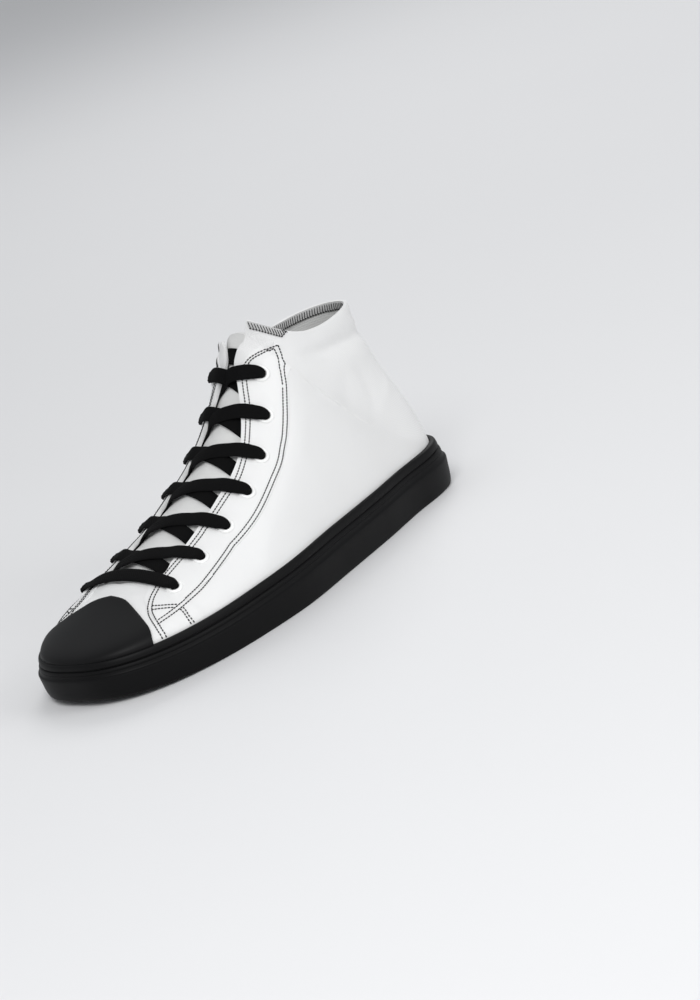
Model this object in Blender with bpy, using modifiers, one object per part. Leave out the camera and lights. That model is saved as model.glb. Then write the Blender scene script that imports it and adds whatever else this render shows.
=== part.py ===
"""A left high top sneaker, empty on its sole: canvas upper, rubber cup sole, toe cap and flat laces.

Metres, +Z up. The toe points along +X, the outer side of the foot is +Y, and the origin lies on the
ground under the middle of the heel.
"""

import math

import bmesh
import bpy
import numpy as np
from mathutils import Matrix, Vector

# Driving dimensions
SOLE_LENGTH = 0.298
BALL_WIDTH = 0.1115
HEEL_SEAT = 0.045
COLLAR_HEIGHT = 0.119
SIDE_HEIGHT = 0.0270
TOE_SIDE_HEIGHT = 0.0200
SIDE_WALL = 0.005
SOLE_FLOOR = 0.008
TOE_SPRING = 0.0040
UPPER_WALL = 0.0018
CAP_THICKNESS = 0.0012
EYESTAY_THICKNESS = 0.0007
TONGUE_THICKNESS = 0.0025
TONGUE_TUCK = 0.010
TONGUE_CLEARANCE = 0.0006
TONGUE_SLACK = 0.0014
INSOLE_THICKNESS = 0.003
CAP_SKIRT = 0.002
CAP_CLEARANCE = 0.0005
CLEARANCE = 0.0003
WELL_CLEARANCE = 0.0005

# Eyelets and lace
EYELETS_A_SIDE = 7
EYELET_BORE = 0.0048
EYELET_FLANGE = 0.0092
EYELET_RIM = 0.0010
FLANGE_CLEARANCE = 0.0008
LACE_WIDTH = 0.0085
LACE_THICKNESS = 0.0012
LACE_BITE = 0.0002
LACE_CLEARANCE = 0.0005
LACE_EDGE_MARGIN = 0.05
LACE_START_MARGIN = 0.07
LACE_RISE = 0.40
LACE_DROP = 0.12
LACE_STEPS = 7

# Tread
GROOVE_WIDTH = 0.0016
GROOVE_DEPTH = 0.0014
TREAD_RIM = 0.0095
BAND_COUNT = 5
BAND_WIDTH = 0.0065
BAND_DEPTH = 0.0007

# Plan of the sole: station is a share of its length from the heel, the rest are shares of BALL_WIDTH
PLAN_COLUMNS = ("station", "centre", "half_width")
PLAN = (
    (0.00, 0.003, 0.342),
    (0.15, -0.022, 0.345),
    (0.30, 0.022, 0.368),
    (0.45, 0.046, 0.403),
    (0.60, 0.035, 0.463),
    (0.72, -0.016, 0.496),
    (0.85, -0.072, 0.499),
    (1.00, -0.067, 0.446),
)
HEEL_ROUND = 0.160
HEEL_POWER = 2.3
TOE_ROUND = 0.235
TOE_POWER = 2.6
SPRING_START = 0.74
TOE_LOW_START = 0.45

# Side of the sole: level is a share of its height, setback a share of SIDE_WALL
SIDE_COLUMNS = ("level", "setback")
SIDE_PROFILE = (
    (0.00, 0.45),
    (0.05, 0.28),
    (0.14, 0.18),
    (0.36, 0.08),
    (0.56, 0.00),
    (0.60, 0.06),
    (0.63, 0.22),
    (0.79, 0.36),
    (0.82, 0.48),
    (0.85, 0.42),
    (0.96, 0.52),
    (1.00, 0.62),
)

# Back of the upper: level runs from 0 at the sole's rim to 1 at the collar, lean is a share of SOLE_LENGTH
BACK_COLUMNS = ("level", "lean")
BACK = (
    (0.00, 0.000),
    (0.16, 0.009),
    (0.35, 0.026),
    (0.55, 0.049),
    (0.74, 0.063),
    (0.87, 0.068),
    (1.00, 0.069),
)

# Half-width of the upper at its top, by station: a share of BALL_WIDTH
TOP_COLUMNS = ("station", "half_width")
TOP = (
    (0.00, 0.210),
    (0.12, 0.210),
    (0.28, 0.212),
    (0.42, 0.230),
    (0.55, 0.285),
    (0.70, 0.365),
    (0.80, 0.390),
    (0.90, 0.410),
    (1.00, 0.400),
)

# Sections of the upper from the toe to the collar. travel runs 0 to 1 along the sole from toe to heel
# and 1 to 2 up the back; crown_station is a share of SOLE_LENGTH, crown_level and reach (the height of
# the rounding below the crown) of COLLAR_HEIGHT, crown_shift of BALL_WIDTH; power rounds the section,
# and curl bends it from straight to a hook.
SECTION_COLUMNS = ("travel", "crown_station", "crown_level", "crown_shift", "reach", "power", "curl")
SECTIONS = (
    (0.000, 0.9816, 0.300, 0.000, 1.00, 2.4, 1.0),
    (0.060, 0.921, 0.325, 0.000, 1.00, 2.3, 1.0),
    (0.130, 0.855, 0.362, -0.010, 1.00, 2.2, 1.0),
    (0.200, 0.788, 0.420, -0.035, 0.60, 2.0, 1.0),
    (0.280, 0.715, 0.477, -0.041, 0.40, 1.9, 1.0),
    (0.390, 0.620, 0.587, -0.038, 0.25, 1.9, 1.0),
    (0.520, 0.540, 0.710, -0.027, 0.26, 1.9, 1.0),
    (0.660, 0.475, 0.860, -0.015, 0.28, 2.0, 1.1),
    (0.820, 0.432, 0.995, -0.006, 0.26, 2.1, 1.3),
    (1.000, 0.414, 1.075, 0.003, 0.25, 2.2, 1.8),
    (1.280, 0.407, 1.115, 0.010, 0.25, 2.3, 2.8),
    (1.640, 0.404, 1.155, 0.015, 0.25, 2.3, 4.5),
    (2.000, 0.402, 1.212, 0.020, 0.25, 2.3, 4.6),
)
TOE_BOX_ROUND = 0.290
TOE_BOX_POWER = 1.7
WIDTH_BLEND = 1.5

# Throat and overlays by section number: turn is 0 at the feather line and 1 on the crown
THROAT_COLUMNS = ("section", "turn")
THROAT_START = 2.70
THROAT = (
    (2.70, 1.000),
    (2.80, 0.800),
    (3.00, 0.690),
    (3.60, 0.660),
    (4.40, 0.655),
    (5.10, 0.700),
    (5.60, 0.705),
    (6.00, 0.722),
    (6.60, 0.785),
    (7.10, 0.850),
    (7.60, 0.910),
    (8.10, 0.960),
    (8.80, 0.962),
    (10.0, 0.925),
    (11.5, 0.885),
    (12.0, 0.862),
)
EYELET_LINE_COLUMNS = ("section", "turn")
EYELET_LINE = (
    (2.90, 0.490),
    (3.98, 0.485),
    (4.72, 0.505),
    (5.44, 0.550),
    (6.29, 0.600),
    (7.07, 0.678),
    (8.10, 0.784),
)
EYESTAY_COLUMNS = ("section", "rear_turn", "front_turn")
EYESTAY = (
    (1.78, 0.405, 0.430),
    (2.00, 0.385, 0.570),
    (2.25, 0.368, 0.675),
    (2.60, 0.345, 0.705),
    (3.20, 0.315, 0.720),
    (4.20, 0.320, 0.720),
    (5.05, 0.378, 0.760),
    (5.90, 0.434, 0.800),
    (6.80, 0.510, 0.860),
    (7.35, 0.572, 0.905),
    (7.90, 0.625, 0.925),
    (8.30, 0.660, 0.905),
    (8.80, 0.688, 0.885),
    (10.0, 0.688, 0.830),
    (11.5, 0.690, 0.715),
)
CAP_EDGE_COLUMNS = ("turn", "section")
CAP_EDGE = (
    (0.00, 1.26),
    (0.15, 1.30),
    (0.35, 1.46),
    (0.55, 1.67),
    (0.70, 1.90),
    (0.85, 2.17),
    (1.00, 2.29),
)
INNER_FLAP_DROP = 1.7
INNER_FLAP_START = 8.0
TONGUE_START = 2.45
TONGUE_TOP = 10.6

# Slack behind the quarters as a share of TONGUE_SLACK: at the throat's end and below the flaps
TONGUE_COLUMNS = ("section", "slack")
TONGUE_LIE = (
    (2.45, 0.8),
    (3.30, 0.8),
    (3.80, 0.4),
    (6.50, 0.4),
    (8.00, 1.0),
    (10.6, 1.0),
)

# Mesh fineness
OUTLINE_STEPS = 44
SHELL_ROWS = 32
SHELL_COLUMNS = 10
EYELET_STEPS = 8
CAP_COLUMNS = 8
CAP_ROWS = 11

COLLECTION = "high_top_sneaker"
CUTTERS = "high_top_sneaker_cutters"


def smooth_column(columns, table, key, name, at):
    """Read one column of a table at any value of its key column, along a smooth curve through the rows."""
    keys = np.array([row[columns.index(key)] for row in table])
    values = np.array([row[columns.index(name)] for row in table])
    at = np.clip(np.asarray(at, dtype=float), keys[0], keys[-1])
    slopes = np.gradient(values, keys)
    index = np.clip(np.searchsorted(keys, at, side="right") - 1, 0, len(keys) - 2)
    width = keys[index + 1] - keys[index]
    share = (at - keys[index]) / width
    flat = 2 * share**3 - 3 * share**2 + 1
    start = (share**3 - 2 * share**2 + share) * width
    end = (share**3 - share**2) * width
    return (
        flat * values[index]
        + (1 - flat) * values[index + 1]
        + start * slopes[index]
        + end * slopes[index + 1]
    )


def numbered_column(name, at):
    """Read one column of the sections at a section number, which may lie between two rows."""
    numbers = tuple((number,) + row for number, row in enumerate(SECTIONS))
    return smooth_column(("number",) + SECTION_COLUMNS, numbers, "number", name, at)


def round_end(distance, reach, power):
    """Share of the full width at a distance from a rounded end whose curve takes up the reach."""
    away = np.clip(1 - np.asarray(distance, dtype=float) / reach, 0, 1)
    return (1 - away**power) ** (1 / power)


def station_of(x):
    """Station along the sole of a place along X."""
    return (np.asarray(x, dtype=float) + HEEL_SEAT) / SOLE_LENGTH


def spring_at(x):
    """Height of the sole's underside above the ground, which rises only at the toe."""
    rise = np.clip((station_of(x) - SPRING_START) / (1 - SPRING_START), 0, None)
    return TOE_SPRING * rise**2


def side_height_at(x):
    """Height of the sole's side, lower toward the toe."""
    fall = np.clip((station_of(x) - TOE_LOW_START) / (1 - TOE_LOW_START), 0, 1)
    return SIDE_HEIGHT + (TOE_SIDE_HEIGHT - SIDE_HEIGHT) * fall**1.5


def rim_at(x):
    """Level of the top of the sole's side."""
    return spring_at(x) + side_height_at(x)


def outline_centre(x):
    """Middle of the sole's outline at a place along X, which gives the shoe its left curve."""
    return BALL_WIDTH * smooth_column(PLAN_COLUMNS, PLAN, "station", "centre", station_of(x))


def outline_side(x, inset):
    """Half-width of the outline drawn in by an inset, before the rounding of heel and toe."""
    half = smooth_column(PLAN_COLUMNS, PLAN, "station", "half_width", station_of(x))
    return BALL_WIDTH * half - inset


def outline_half(x, inset):
    """Half-width of the outline drawn in by an inset."""
    heel = round_end(np.asarray(x) + HEEL_SEAT - inset, HEEL_ROUND * SOLE_LENGTH, HEEL_POWER)
    toe = round_end(SOLE_LENGTH - HEEL_SEAT - inset - np.asarray(x), TOE_ROUND * SOLE_LENGTH, TOE_POWER)
    return outline_side(x, inset) * heel * toe


def outline_ring(inset, level):
    """Ring of points round the outline, from the heel along the outer side and back along the inner side."""
    angles = np.linspace(0, 2 * math.pi, OUTLINE_STEPS, endpoint=False)
    share = (1 - np.cos(angles)) / 2
    x = inset - HEEL_SEAT + share * (SOLE_LENGTH - 2 * inset)
    side = np.sign(np.round(np.sin(angles), 9))
    y = outline_centre(x) + side * outline_half(x, inset)
    return np.stack([x, y, level(x)], axis=-1)


SHELL_INSET = SIDE_WALL + WELL_CLEARANCE
SHELL_HEEL = SHELL_INSET - HEEL_SEAT
SHELL_TOE = SOLE_LENGTH - HEEL_SEAT - SHELL_INSET


def back_at(level):
    """Place along X of the back of the upper at a level."""
    share = (np.asarray(level) - SIDE_HEIGHT) / (COLLAR_HEIGHT - SIDE_HEIGHT)
    lean = smooth_column(BACK_COLUMNS, BACK, "level", "lean", share)
    return SHELL_HEEL + SOLE_LENGTH * lean


def section_base(section):
    """Foot of a section: on the feather line from toe to heel, then up the back seam."""
    travel = numbered_column("travel", section)
    along = SHELL_TOE + (SHELL_HEEL - SHELL_TOE) * np.clip(travel, 0, 1)
    up = SIDE_HEIGHT + (COLLAR_HEIGHT - SIDE_HEIGHT) * np.clip(travel - 1, 0, 1)
    on_back = travel > 1
    x = np.where(on_back, back_at(up), along)
    z = np.where(on_back, up, rim_at(along))
    return x, z


def section_crown(section):
    """Top of a section on the ridge of the foot, brought down to the rim at the toe."""
    x = SOLE_LENGTH * numbered_column("crown_station", section) - HEEL_SEAT
    x = np.minimum(x, SHELL_TOE)
    full = COLLAR_HEIGHT * numbered_column("crown_level", section)
    box = round_end(SHELL_TOE - x, TOE_BOX_ROUND * SOLE_LENGTH, TOE_BOX_POWER)
    z = rim_at(x) + (full - rim_at(x)) * box
    return x, z


def ceiling_at(x):
    """Highest level of the upper at a place along X: the ridge of the foot, then the collar."""
    numbers = np.linspace(0, len(SECTIONS) - 1, 80)
    crown_x, crown_z = section_crown(numbers)
    top = np.minimum(crown_z, COLLAR_HEIGHT)
    order = np.argsort(crown_x)
    return np.interp(x, crown_x[order], top[order])


def half_width_at(x, z):
    """Half-width of the upper's walls at a place in its side view, before the rounding of the crown."""
    top_half = BALL_WIDTH * smooth_column(TOP_COLUMNS, TOP, "station", "half_width", station_of(x))
    side = outline_side(x, SHELL_INSET)
    rim = rim_at(x)
    height = np.clip((z - rim) / np.maximum(ceiling_at(x) - rim, 0.004), 0, 1)
    side = side + (top_half - side) * height**WIDTH_BLEND
    heel = round_end(x - back_at(z), HEEL_ROUND * SOLE_LENGTH, HEEL_POWER)
    toe = round_end(SHELL_TOE - x, TOE_ROUND * SOLE_LENGTH, TOE_POWER)
    return side * heel * toe


def shell_point(section, across):
    """Point of the upper's outer face.

    section is a section number, and across runs from -1 at the inner feather line over 0 on the crown
    to 1 at the outer one.
    """
    section = np.asarray(section, dtype=float)
    across = np.asarray(across, dtype=float)
    rise = np.sin(np.clip(1 - np.abs(across), 0, 1) * math.pi / 2)
    base_x, base_z = section_base(section)
    crown_x, crown_z = section_crown(section)
    x = base_x + (crown_x - base_x) * rise
    z = base_z + (crown_z - base_z) * rise ** numbered_column("curl", section)
    length = np.hypot(crown_x - base_x, crown_z - base_z)
    reach = np.minimum(COLLAR_HEIGHT * numbered_column("reach", section), np.maximum(length, 1e-6))
    narrowing = round_end(length * (1 - rise), reach, numbered_column("power", section))
    shift = BALL_WIDTH * numbered_column("crown_shift", section) * rise**1.5
    y = outline_centre(x) + shift + np.sign(across) * half_width_at(x, z) * narrowing
    return np.stack([x, y, z], axis=-1)


def shell_normal(section, across):
    """Outward unit normal of the upper's outer face."""
    small = 1e-3
    section = np.asarray(section, dtype=float)
    across = np.asarray(across, dtype=float)
    section = np.maximum(section, 4 * small)
    low = np.clip(section - small, 0, len(SECTIONS) - 1)
    high = np.clip(section + small, 0, len(SECTIONS) - 1)
    along = shell_point(high, across) - shell_point(low, across)
    right = np.clip(across + small, -1, 1)
    left = np.clip(across - small, -1, 1)
    over = shell_point(section, right) - shell_point(section, left)
    normal = np.cross(over, along)
    return normal / np.maximum(np.linalg.norm(normal, axis=-1, keepdims=True), 1e-12)


def lifted_point(section, across, height):
    """Point at a height above the upper's outer face, or below it where the height is negative."""
    normal = shell_normal(section, across)
    return shell_point(section, across) + normal * np.asarray(height)[..., None]


def throat_turn(section):
    """Turn at which the quarters end: 1 in front of the throat."""
    turn = smooth_column(THROAT_COLUMNS, THROAT, "section", "turn", section)
    return np.where(np.asarray(section) <= THROAT_START, 1.0, np.minimum(turn, 1.0))


def make_material(name, colour, roughness, metallic=0.0):
    """Principled material with a part's plain colour."""
    material = bpy.data.materials.new(name)
    material.use_nodes = True
    shader = material.node_tree.nodes["Principled BSDF"]
    shader.inputs["Base Color"].default_value = (*colour, 1.0)
    shader.inputs["Roughness"].default_value = roughness
    shader.inputs["Metallic"].default_value = metallic
    return material


def link_mesh(name, bm, material, collection):
    """Turn a bmesh into a named object of a collection, with its faces facing out."""
    bmesh.ops.remove_doubles(bm, verts=bm.verts, dist=2e-6)
    bmesh.ops.dissolve_degenerate(bm, edges=bm.edges, dist=1e-7)
    bmesh.ops.recalc_face_normals(bm, faces=bm.faces)
    mesh = bpy.data.meshes.new(name)
    bm.to_mesh(mesh)
    bm.free()
    thing = bpy.data.objects.new(name, mesh)
    collection.objects.link(thing)
    if material is not None:
        mesh.materials.append(material)
    return thing


def add_points(bm, points):
    """Add a row of points and return their vertices."""
    return [bm.verts.new(Vector(point)) for point in points]


def add_quads(bm, first, second, closed):
    """Join two rows of vertices with quads, round the end too where the rows are rings."""
    count = len(first)
    for index in range(count if closed else count - 1):
        after = (index + 1) % count
        bm.faces.new((first[index], first[after], second[after], second[index]))


def cap_ring(bm, ring):
    """Close a ring that is laid out in mirrored pairs with strips from side to side."""
    count = len(ring)
    half = count // 2
    bm.faces.new((ring[0], ring[1], ring[count - 1]))
    for index in range(1, half - 1):
        bm.faces.new((ring[index], ring[index + 1], ring[count - index - 1], ring[count - index]))
    bm.faces.new((ring[half - 1], ring[half], ring[half + 1]))


def ring_solid(name, rings, material, collection):
    """Closed solid lofted through rings, with strips across the first and the last."""
    bm = bmesh.new()
    rows = [add_points(bm, ring) for ring in rings]
    for first, second in zip(rows, rows[1:]):
        add_quads(bm, first, second, True)
    cap_ring(bm, rows[0])
    cap_ring(bm, rows[-1])
    return link_mesh(name, bm, material, collection)


def tube_solid(name, rings, material, collection):
    """Closed ring-shaped solid lofted through rings and back to the first."""
    bm = bmesh.new()
    rows = [add_points(bm, ring) for ring in rings]
    for first, second in zip(rows, rows[1:] + rows[:1]):
        add_quads(bm, first, second, True)
    return link_mesh(name, bm, material, collection)


def sheet_object(name, points, material, collection):
    """Open sheet of quads through a grid of points."""
    bm = bmesh.new()
    rows = [add_points(bm, row) for row in points]
    for first, second in zip(rows, rows[1:]):
        add_quads(bm, first, second, False)
    return link_mesh(name, bm, material, collection)


def thicken(thing, thickness, outward):
    """Give a sheet a wall on one side of its faces."""
    wall = thing.modifiers.new("wall", "SOLIDIFY")
    wall.thickness = thickness
    wall.offset = 1.0 if outward else -1.0
    wall.use_even_offset = False
    return wall


def cut(thing, cutter):
    """Cut a solid with another one."""
    modifier = thing.modifiers.new("cut_" + cutter.name, "BOOLEAN")
    modifier.operation = "DIFFERENCE"
    modifier.solver = "EXACT"
    modifier.object = cutter
    return modifier


def face_outward(thing, inside):
    """Turn a sheet's faces so that they look away from a place inside the shoe."""
    bm = bmesh.new()
    bm.from_mesh(thing.data)
    outward = 0.0
    for face in bm.faces:
        outward += face.normal.dot(face.calc_center_median() - inside) * face.calc_area()
    if outward < 0:
        bmesh.ops.reverse_faces(bm, faces=bm.faces)
    bm.to_mesh(thing.data)
    bm.free()


def side_rings():
    """Rings up the outside of the sole."""
    rings = []
    for share, setback in SIDE_PROFILE:
        rings.append(outline_ring(
            setback * SIDE_WALL,
            lambda x, share=share: spring_at(x) + share * side_height_at(x),
        ))
    return rings


def panel_ring(start, end, rim, depth):
    """Ring round a panel of the tread between two places along X, inside a plain rim."""
    angles = np.linspace(0, 2 * math.pi, OUTLINE_STEPS, endpoint=False)
    x = start + (1 - np.cos(angles)) / 2 * (end - start)
    corner = 0.014
    ends = round_end(x - start, corner, 2.4) * round_end(end - x, corner, 2.4)
    half = (outline_side(x, rim) * round_end(SOLE_LENGTH - HEEL_SEAT - rim - x, TOE_ROUND * SOLE_LENGTH, TOE_POWER)
            * round_end(x + HEEL_SEAT - rim, HEEL_ROUND * SOLE_LENGTH, HEEL_POWER))
    side = np.sign(np.round(np.sin(angles), 9))
    y = outline_centre(x) + side * half * ends
    return np.stack([x, y, spring_at(x) + depth], axis=-1)


def groove_cutter(name, start, end, rim, collection):
    """Cutter for the groove round a panel of the tread."""
    inner = GROOVE_WIDTH
    rings = [
        panel_ring(start, end, rim, -GROOVE_DEPTH),
        panel_ring(start, end, rim, GROOVE_DEPTH),
        panel_ring(start + inner, end - inner, rim + inner, GROOVE_DEPTH),
        panel_ring(start + inner, end - inner, rim + inner, -GROOVE_DEPTH),
    ]
    return tube_solid(name, rings, None, collection)


def band_cutter(name, start, end, offset, collection):
    """Cutter for one shallow lengthwise band of the forefoot tread."""
    x = np.linspace(start, end, 9)
    ends = round_end(x - start, 0.010, 2.0) * round_end(end - x, 0.010, 2.0)
    half = np.maximum(BAND_WIDTH / 2 * ends, 0.0008)
    middle = outline_centre(x) + offset
    rings = []
    for step in range(len(x)):
        low = spring_at(x[step]) - BAND_DEPTH
        high = spring_at(x[step]) + BAND_DEPTH
        rings.append([
            (x[step], middle[step] - half[step], low),
            (x[step], middle[step] + half[step], low),
            (x[step], middle[step] + half[step], high),
            (x[step], middle[step] - half[step], high),
        ])
    bm = bmesh.new()
    rows = [add_points(bm, ring) for ring in rings]
    for first, second in zip(rows, rows[1:]):
        add_quads(bm, first, second, True)
    bm.faces.new(rows[0])
    bm.faces.new(rows[-1])
    return link_mesh(name, bm, None, collection)


def build_outsole(parts, cutters):
    """Cup sole: stepped side, floor, well for the upper and the grooves of the tread."""
    rubber = make_material("outsole_rubber", (0.012, 0.012, 0.013), 0.5)
    rings = side_rings()
    rings.append(outline_ring(SIDE_WALL, rim_at))
    rings.append(outline_ring(SIDE_WALL, lambda x: spring_at(x) + SOLE_FLOOR))
    outsole = ring_solid("outsole", rings, rubber, parts)
    toe_end = SOLE_LENGTH - HEEL_SEAT
    panels = (
        ("groove_forefoot", 0.34 * SOLE_LENGTH, toe_end - TREAD_RIM),
        ("groove_heel", TREAD_RIM - HEEL_SEAT, 0.20 * SOLE_LENGTH),
    )
    for name, start, end in panels:
        cut(outsole, groove_cutter(name, start, end, TREAD_RIM, cutters))
    pitch = 2 * BAND_WIDTH
    for number in range(BAND_COUNT):
        offset = (number - (BAND_COUNT - 1) / 2) * pitch
        reach = abs(offset) / BALL_WIDTH
        start = (0.37 + 0.02 * reach) * SOLE_LENGTH
        end = toe_end - (0.065 + 0.55 * reach**2) * SOLE_LENGTH
        cut(outsole, band_cutter(f"tread_band_{number + 1}", start, end, offset, cutters))
    return outsole


def build_insole(parts):
    """Insole that fills the bottom of the upper."""
    foam = make_material("insole_foam", (0.55, 0.55, 0.53), 0.9)
    inset = SHELL_INSET + UPPER_WALL + WELL_CLEARANCE
    low = SOLE_FLOOR + CLEARANCE
    rings = [
        outline_ring(inset, lambda x: spring_at(x) + low),
        outline_ring(inset, lambda x: spring_at(x) + low + INSOLE_THICKNESS),
    ]
    return ring_solid("insole", rings, foam, parts)


def shell_rows():
    """Section numbers of the upper's mesh rows, closer at toe and heel, with one on the heel's corner."""
    corner = next(number for number, row in enumerate(SECTIONS) if row[0] == 1.0)
    front_count = round(SHELL_ROWS * 0.76)
    front = corner * (1 - np.cos(np.linspace(0, math.pi, front_count))) / 2
    front[np.abs(front - THROAT_START).argmin()] = THROAT_START
    rear = np.linspace(corner, len(SECTIONS) - 1, SHELL_ROWS - front_count + 1)
    return front, rear[1:]


def flap_section(row, turn, side):
    """Section number of a mesh row, brought lower toward the throat on the inner side's flap."""
    upward = np.clip((row - INNER_FLAP_START) / (len(SECTIONS) - 1 - INNER_FLAP_START), 0, 1)
    drop = INNER_FLAP_DROP if side < 0 else 0.0
    return row - drop * upward * np.asarray(turn) ** 3


def rows_between(first, last):
    """Section numbers of the upper's mesh rows between two others, so that what lies on it has its facets."""
    rows = np.concatenate(shell_rows())
    inside = rows[(rows > first + 0.05) & (rows < last - 0.05)]
    return np.concatenate([[first], inside, [last]])


def build_upper(parts):
    """Upper: one wall from the toe over the foot and round the heel, open at throat, collar and underneath."""
    canvas = make_material("canvas", (0.80, 0.80, 0.79), 0.85)
    front, rear = shell_rows()
    rows = np.concatenate([front, rear])
    even = np.linspace(0, 1, SHELL_COLUMNS + 1)
    spread = (even**1.7 + (1 - np.cos(math.pi * even)) / 2) / 2
    bm = bmesh.new()
    sides = {}
    for side in (1, -1):
        grid = []
        for row in rows:
            sections = flap_section(row, spread, side)
            turns = spread * throat_turn(sections)
            grid.append(add_points(bm, shell_point(sections, side * (1 - turns))))
        for first, second in zip(grid, grid[1:]):
            add_quads(bm, first, second, False)
        sides[side] = grid
        feather = [line[0] for line in grid[:len(front)]]
        foot = []
        for vertex in feather:
            level = float(spring_at(vertex.co.x)) + SOLE_FLOOR + CLEARANCE
            foot.append(bm.verts.new((vertex.co.x, vertex.co.y, level)))
        add_quads(bm, feather, foot, False)
    upper = link_mesh("upper", bm, canvas, parts)
    face_outward(upper, Vector((0.30 * SOLE_LENGTH, 0.0, 0.35 * COLLAR_HEIGHT)))
    thicken(upper, UPPER_WALL, False)
    return upper


def build_toe_cap(parts, cutters):
    """Rubber cap over the toe, resting on the rim of the sole."""
    rubber = make_material("toe_cap_rubber", (0.016, 0.016, 0.017), 0.45)
    columns = 1 - np.cos(np.linspace(0, math.pi / 2, CAP_COLUMNS))
    across = np.concatenate([-(1 - columns), (1 - columns)[::-1][1:]])
    edge = smooth_column(CAP_EDGE_COLUMNS, CAP_EDGE, "turn", "section", 1 - np.abs(across))
    rows = []
    for share in np.linspace(0, 1, CAP_ROWS) ** 1.8:
        row = lifted_point(share * edge, across, np.full_like(across, CAP_CLEARANCE))
        if share == 0:
            row = shell_point(share * edge, across) + np.array([CAP_CLEARANCE, 0, 0])
        skirt = np.array([0, 0, CAP_SKIRT])
        rows.append(np.concatenate([row[:1] - skirt, row, row[-1:] - skirt]))
    cap = sheet_object("toe_cap", rows, rubber, parts)
    face_outward(cap, Vector((0.6 * SOLE_LENGTH, 0.0, 0.2 * COLLAR_HEIGHT)))
    thicken(cap, CAP_THICKNESS, True)
    well = [
        outline_ring(-SIDE_WALL, lambda x: spring_at(x) - SIDE_WALL),
        outline_ring(-SIDE_WALL, lambda x: rim_at(x) + CLEARANCE),
    ]
    cut(cap, ring_solid("cap_cutter", well, None, cutters))
    return cap


def build_tongue(parts):
    """Tongue behind the throat, tucked under the quarters and the vamp."""
    canvas = make_material("tongue_canvas", (0.78, 0.78, 0.77), 0.88)
    rows = []
    sections = rows_between(TONGUE_START, TONGUE_TOP)
    for section in sections:
        edge = 1 - float(throat_turn(max(section, THROAT_START + 0.5)))
        arc = float(np.linalg.norm(shell_point(section, edge) - shell_point(section, edge + 0.02))) / 0.02
        reach = edge + TONGUE_TUCK / max(arc, 1e-6)
        top_round = float(round_end(sections[-1] - section + 0.02, 0.9, 2.2))
        reach = reach * (0.72 + 0.28 * top_round)
        across = np.linspace(-reach, reach, 9)
        slack = TONGUE_SLACK * float(smooth_column(TONGUE_COLUMNS, TONGUE_LIE, "section", "slack", section))
        depth = UPPER_WALL + TONGUE_CLEARANCE + slack
        rows.append(lifted_point(np.full_like(across, section), across, np.full_like(across, -depth)))
    tongue = sheet_object("tongue", rows, canvas, parts)
    face_outward(tongue, Vector((0.25 * SOLE_LENGTH, 0.0, 0.3 * COLLAR_HEIGHT)))
    thicken(tongue, TONGUE_THICKNESS, False)
    return tongue


def even_sections(first, last, turn, count):
    """Section numbers at even distances along a line of the upper."""
    sections = np.linspace(first, last, 400)
    line = shell_point(sections, 1 - turn(sections))
    length = np.concatenate([[0], np.cumsum(np.linalg.norm(np.diff(line, axis=0), axis=1))])
    return np.interp(np.linspace(0, length[-1], count), length, sections)


def eyelet_turn(section):
    """Turn of the line that the eyelets lie on."""
    return smooth_column(EYELET_LINE_COLUMNS, EYELET_LINE, "section", "turn", section)


def eyelet_line(side):
    """Section number and across value of each eyelet of a side, from the toe end up."""
    sections = even_sections(EYELET_LINE[0][0], EYELET_LINE[-1][0], eyelet_turn, EYELETS_A_SIDE)
    return sections, side * (1 - eyelet_turn(sections))


def frame_on_shell(section, across, height):
    """Placing matrix with Z along the upper's outward normal, at a height above it."""
    normal = Vector(shell_normal(section, across))
    place = Vector(lifted_point(section, across, height))
    turn = normal.to_track_quat("Z", "Y").to_matrix().to_4x4()
    return Matrix.Translation(place) @ turn


def build_eyestay(side, name, parts):
    """Reinforcing panel along one side of the throat, down to its point near the sole."""
    canvas = make_material(name + "_canvas", (0.80, 0.80, 0.79), 0.85)
    first = EYESTAY[0][0]
    last = EYESTAY[-1][0]
    rows = []
    for row in rows_between(first, last):
        rear = float(smooth_column(EYESTAY_COLUMNS, EYESTAY, "section", "rear_turn", row))
        front = float(smooth_column(EYESTAY_COLUMNS, EYESTAY, "section", "front_turn", row))
        if row > THROAT_START:
            front = min(front, float(throat_turn(row)))
        turns = np.linspace(rear, front, 5)
        sections = flap_section(row, turns, side)
        rows.append(lifted_point(sections, side * (1 - turns), np.full_like(turns, CLEARANCE)))
    panel = sheet_object(name, rows, canvas, parts)
    face_outward(panel, Vector((0.30 * SOLE_LENGTH, 0.0, 0.3 * COLLAR_HEIGHT)))
    thicken(panel, EYESTAY_THICKNESS, True)
    return panel


def build_eyelet(name, matrix, parts):
    """Turned metal eyelet whose flange lies on the eyestay and whose barrel goes through the wall."""
    metal = make_material(name + "_enamel", (0.85, 0.85, 0.84), 0.35, 0.3)
    depth = UPPER_WALL + EYESTAY_THICKNESS
    flange = EYELET_FLANGE / 2
    bore = EYELET_BORE / 2
    profile = (
        (bore, -depth),
        (bore, EYELET_RIM),
        (flange - 0.0006, EYELET_RIM),
        (flange, FLANGE_CLEARANCE),
        (bore + 0.0005, FLANGE_CLEARANCE),
        (bore + 0.0005, -depth),
    )
    bm = bmesh.new()
    line = add_points(bm, [(radius, 0.0, level) for radius, level in profile])
    edges = [bm.edges.new((line[index], line[(index + 1) % len(line)])) for index in range(len(line))]
    bmesh.ops.spin(
        bm, geom=line + edges, cent=(0, 0, 0), axis=(0, 0, 1), angle=2 * math.pi,
        steps=EYELET_STEPS, use_merge=True,
    )
    eyelet = link_mesh(name, bm, metal, parts)
    eyelet.matrix_world = matrix
    return eyelet


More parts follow.
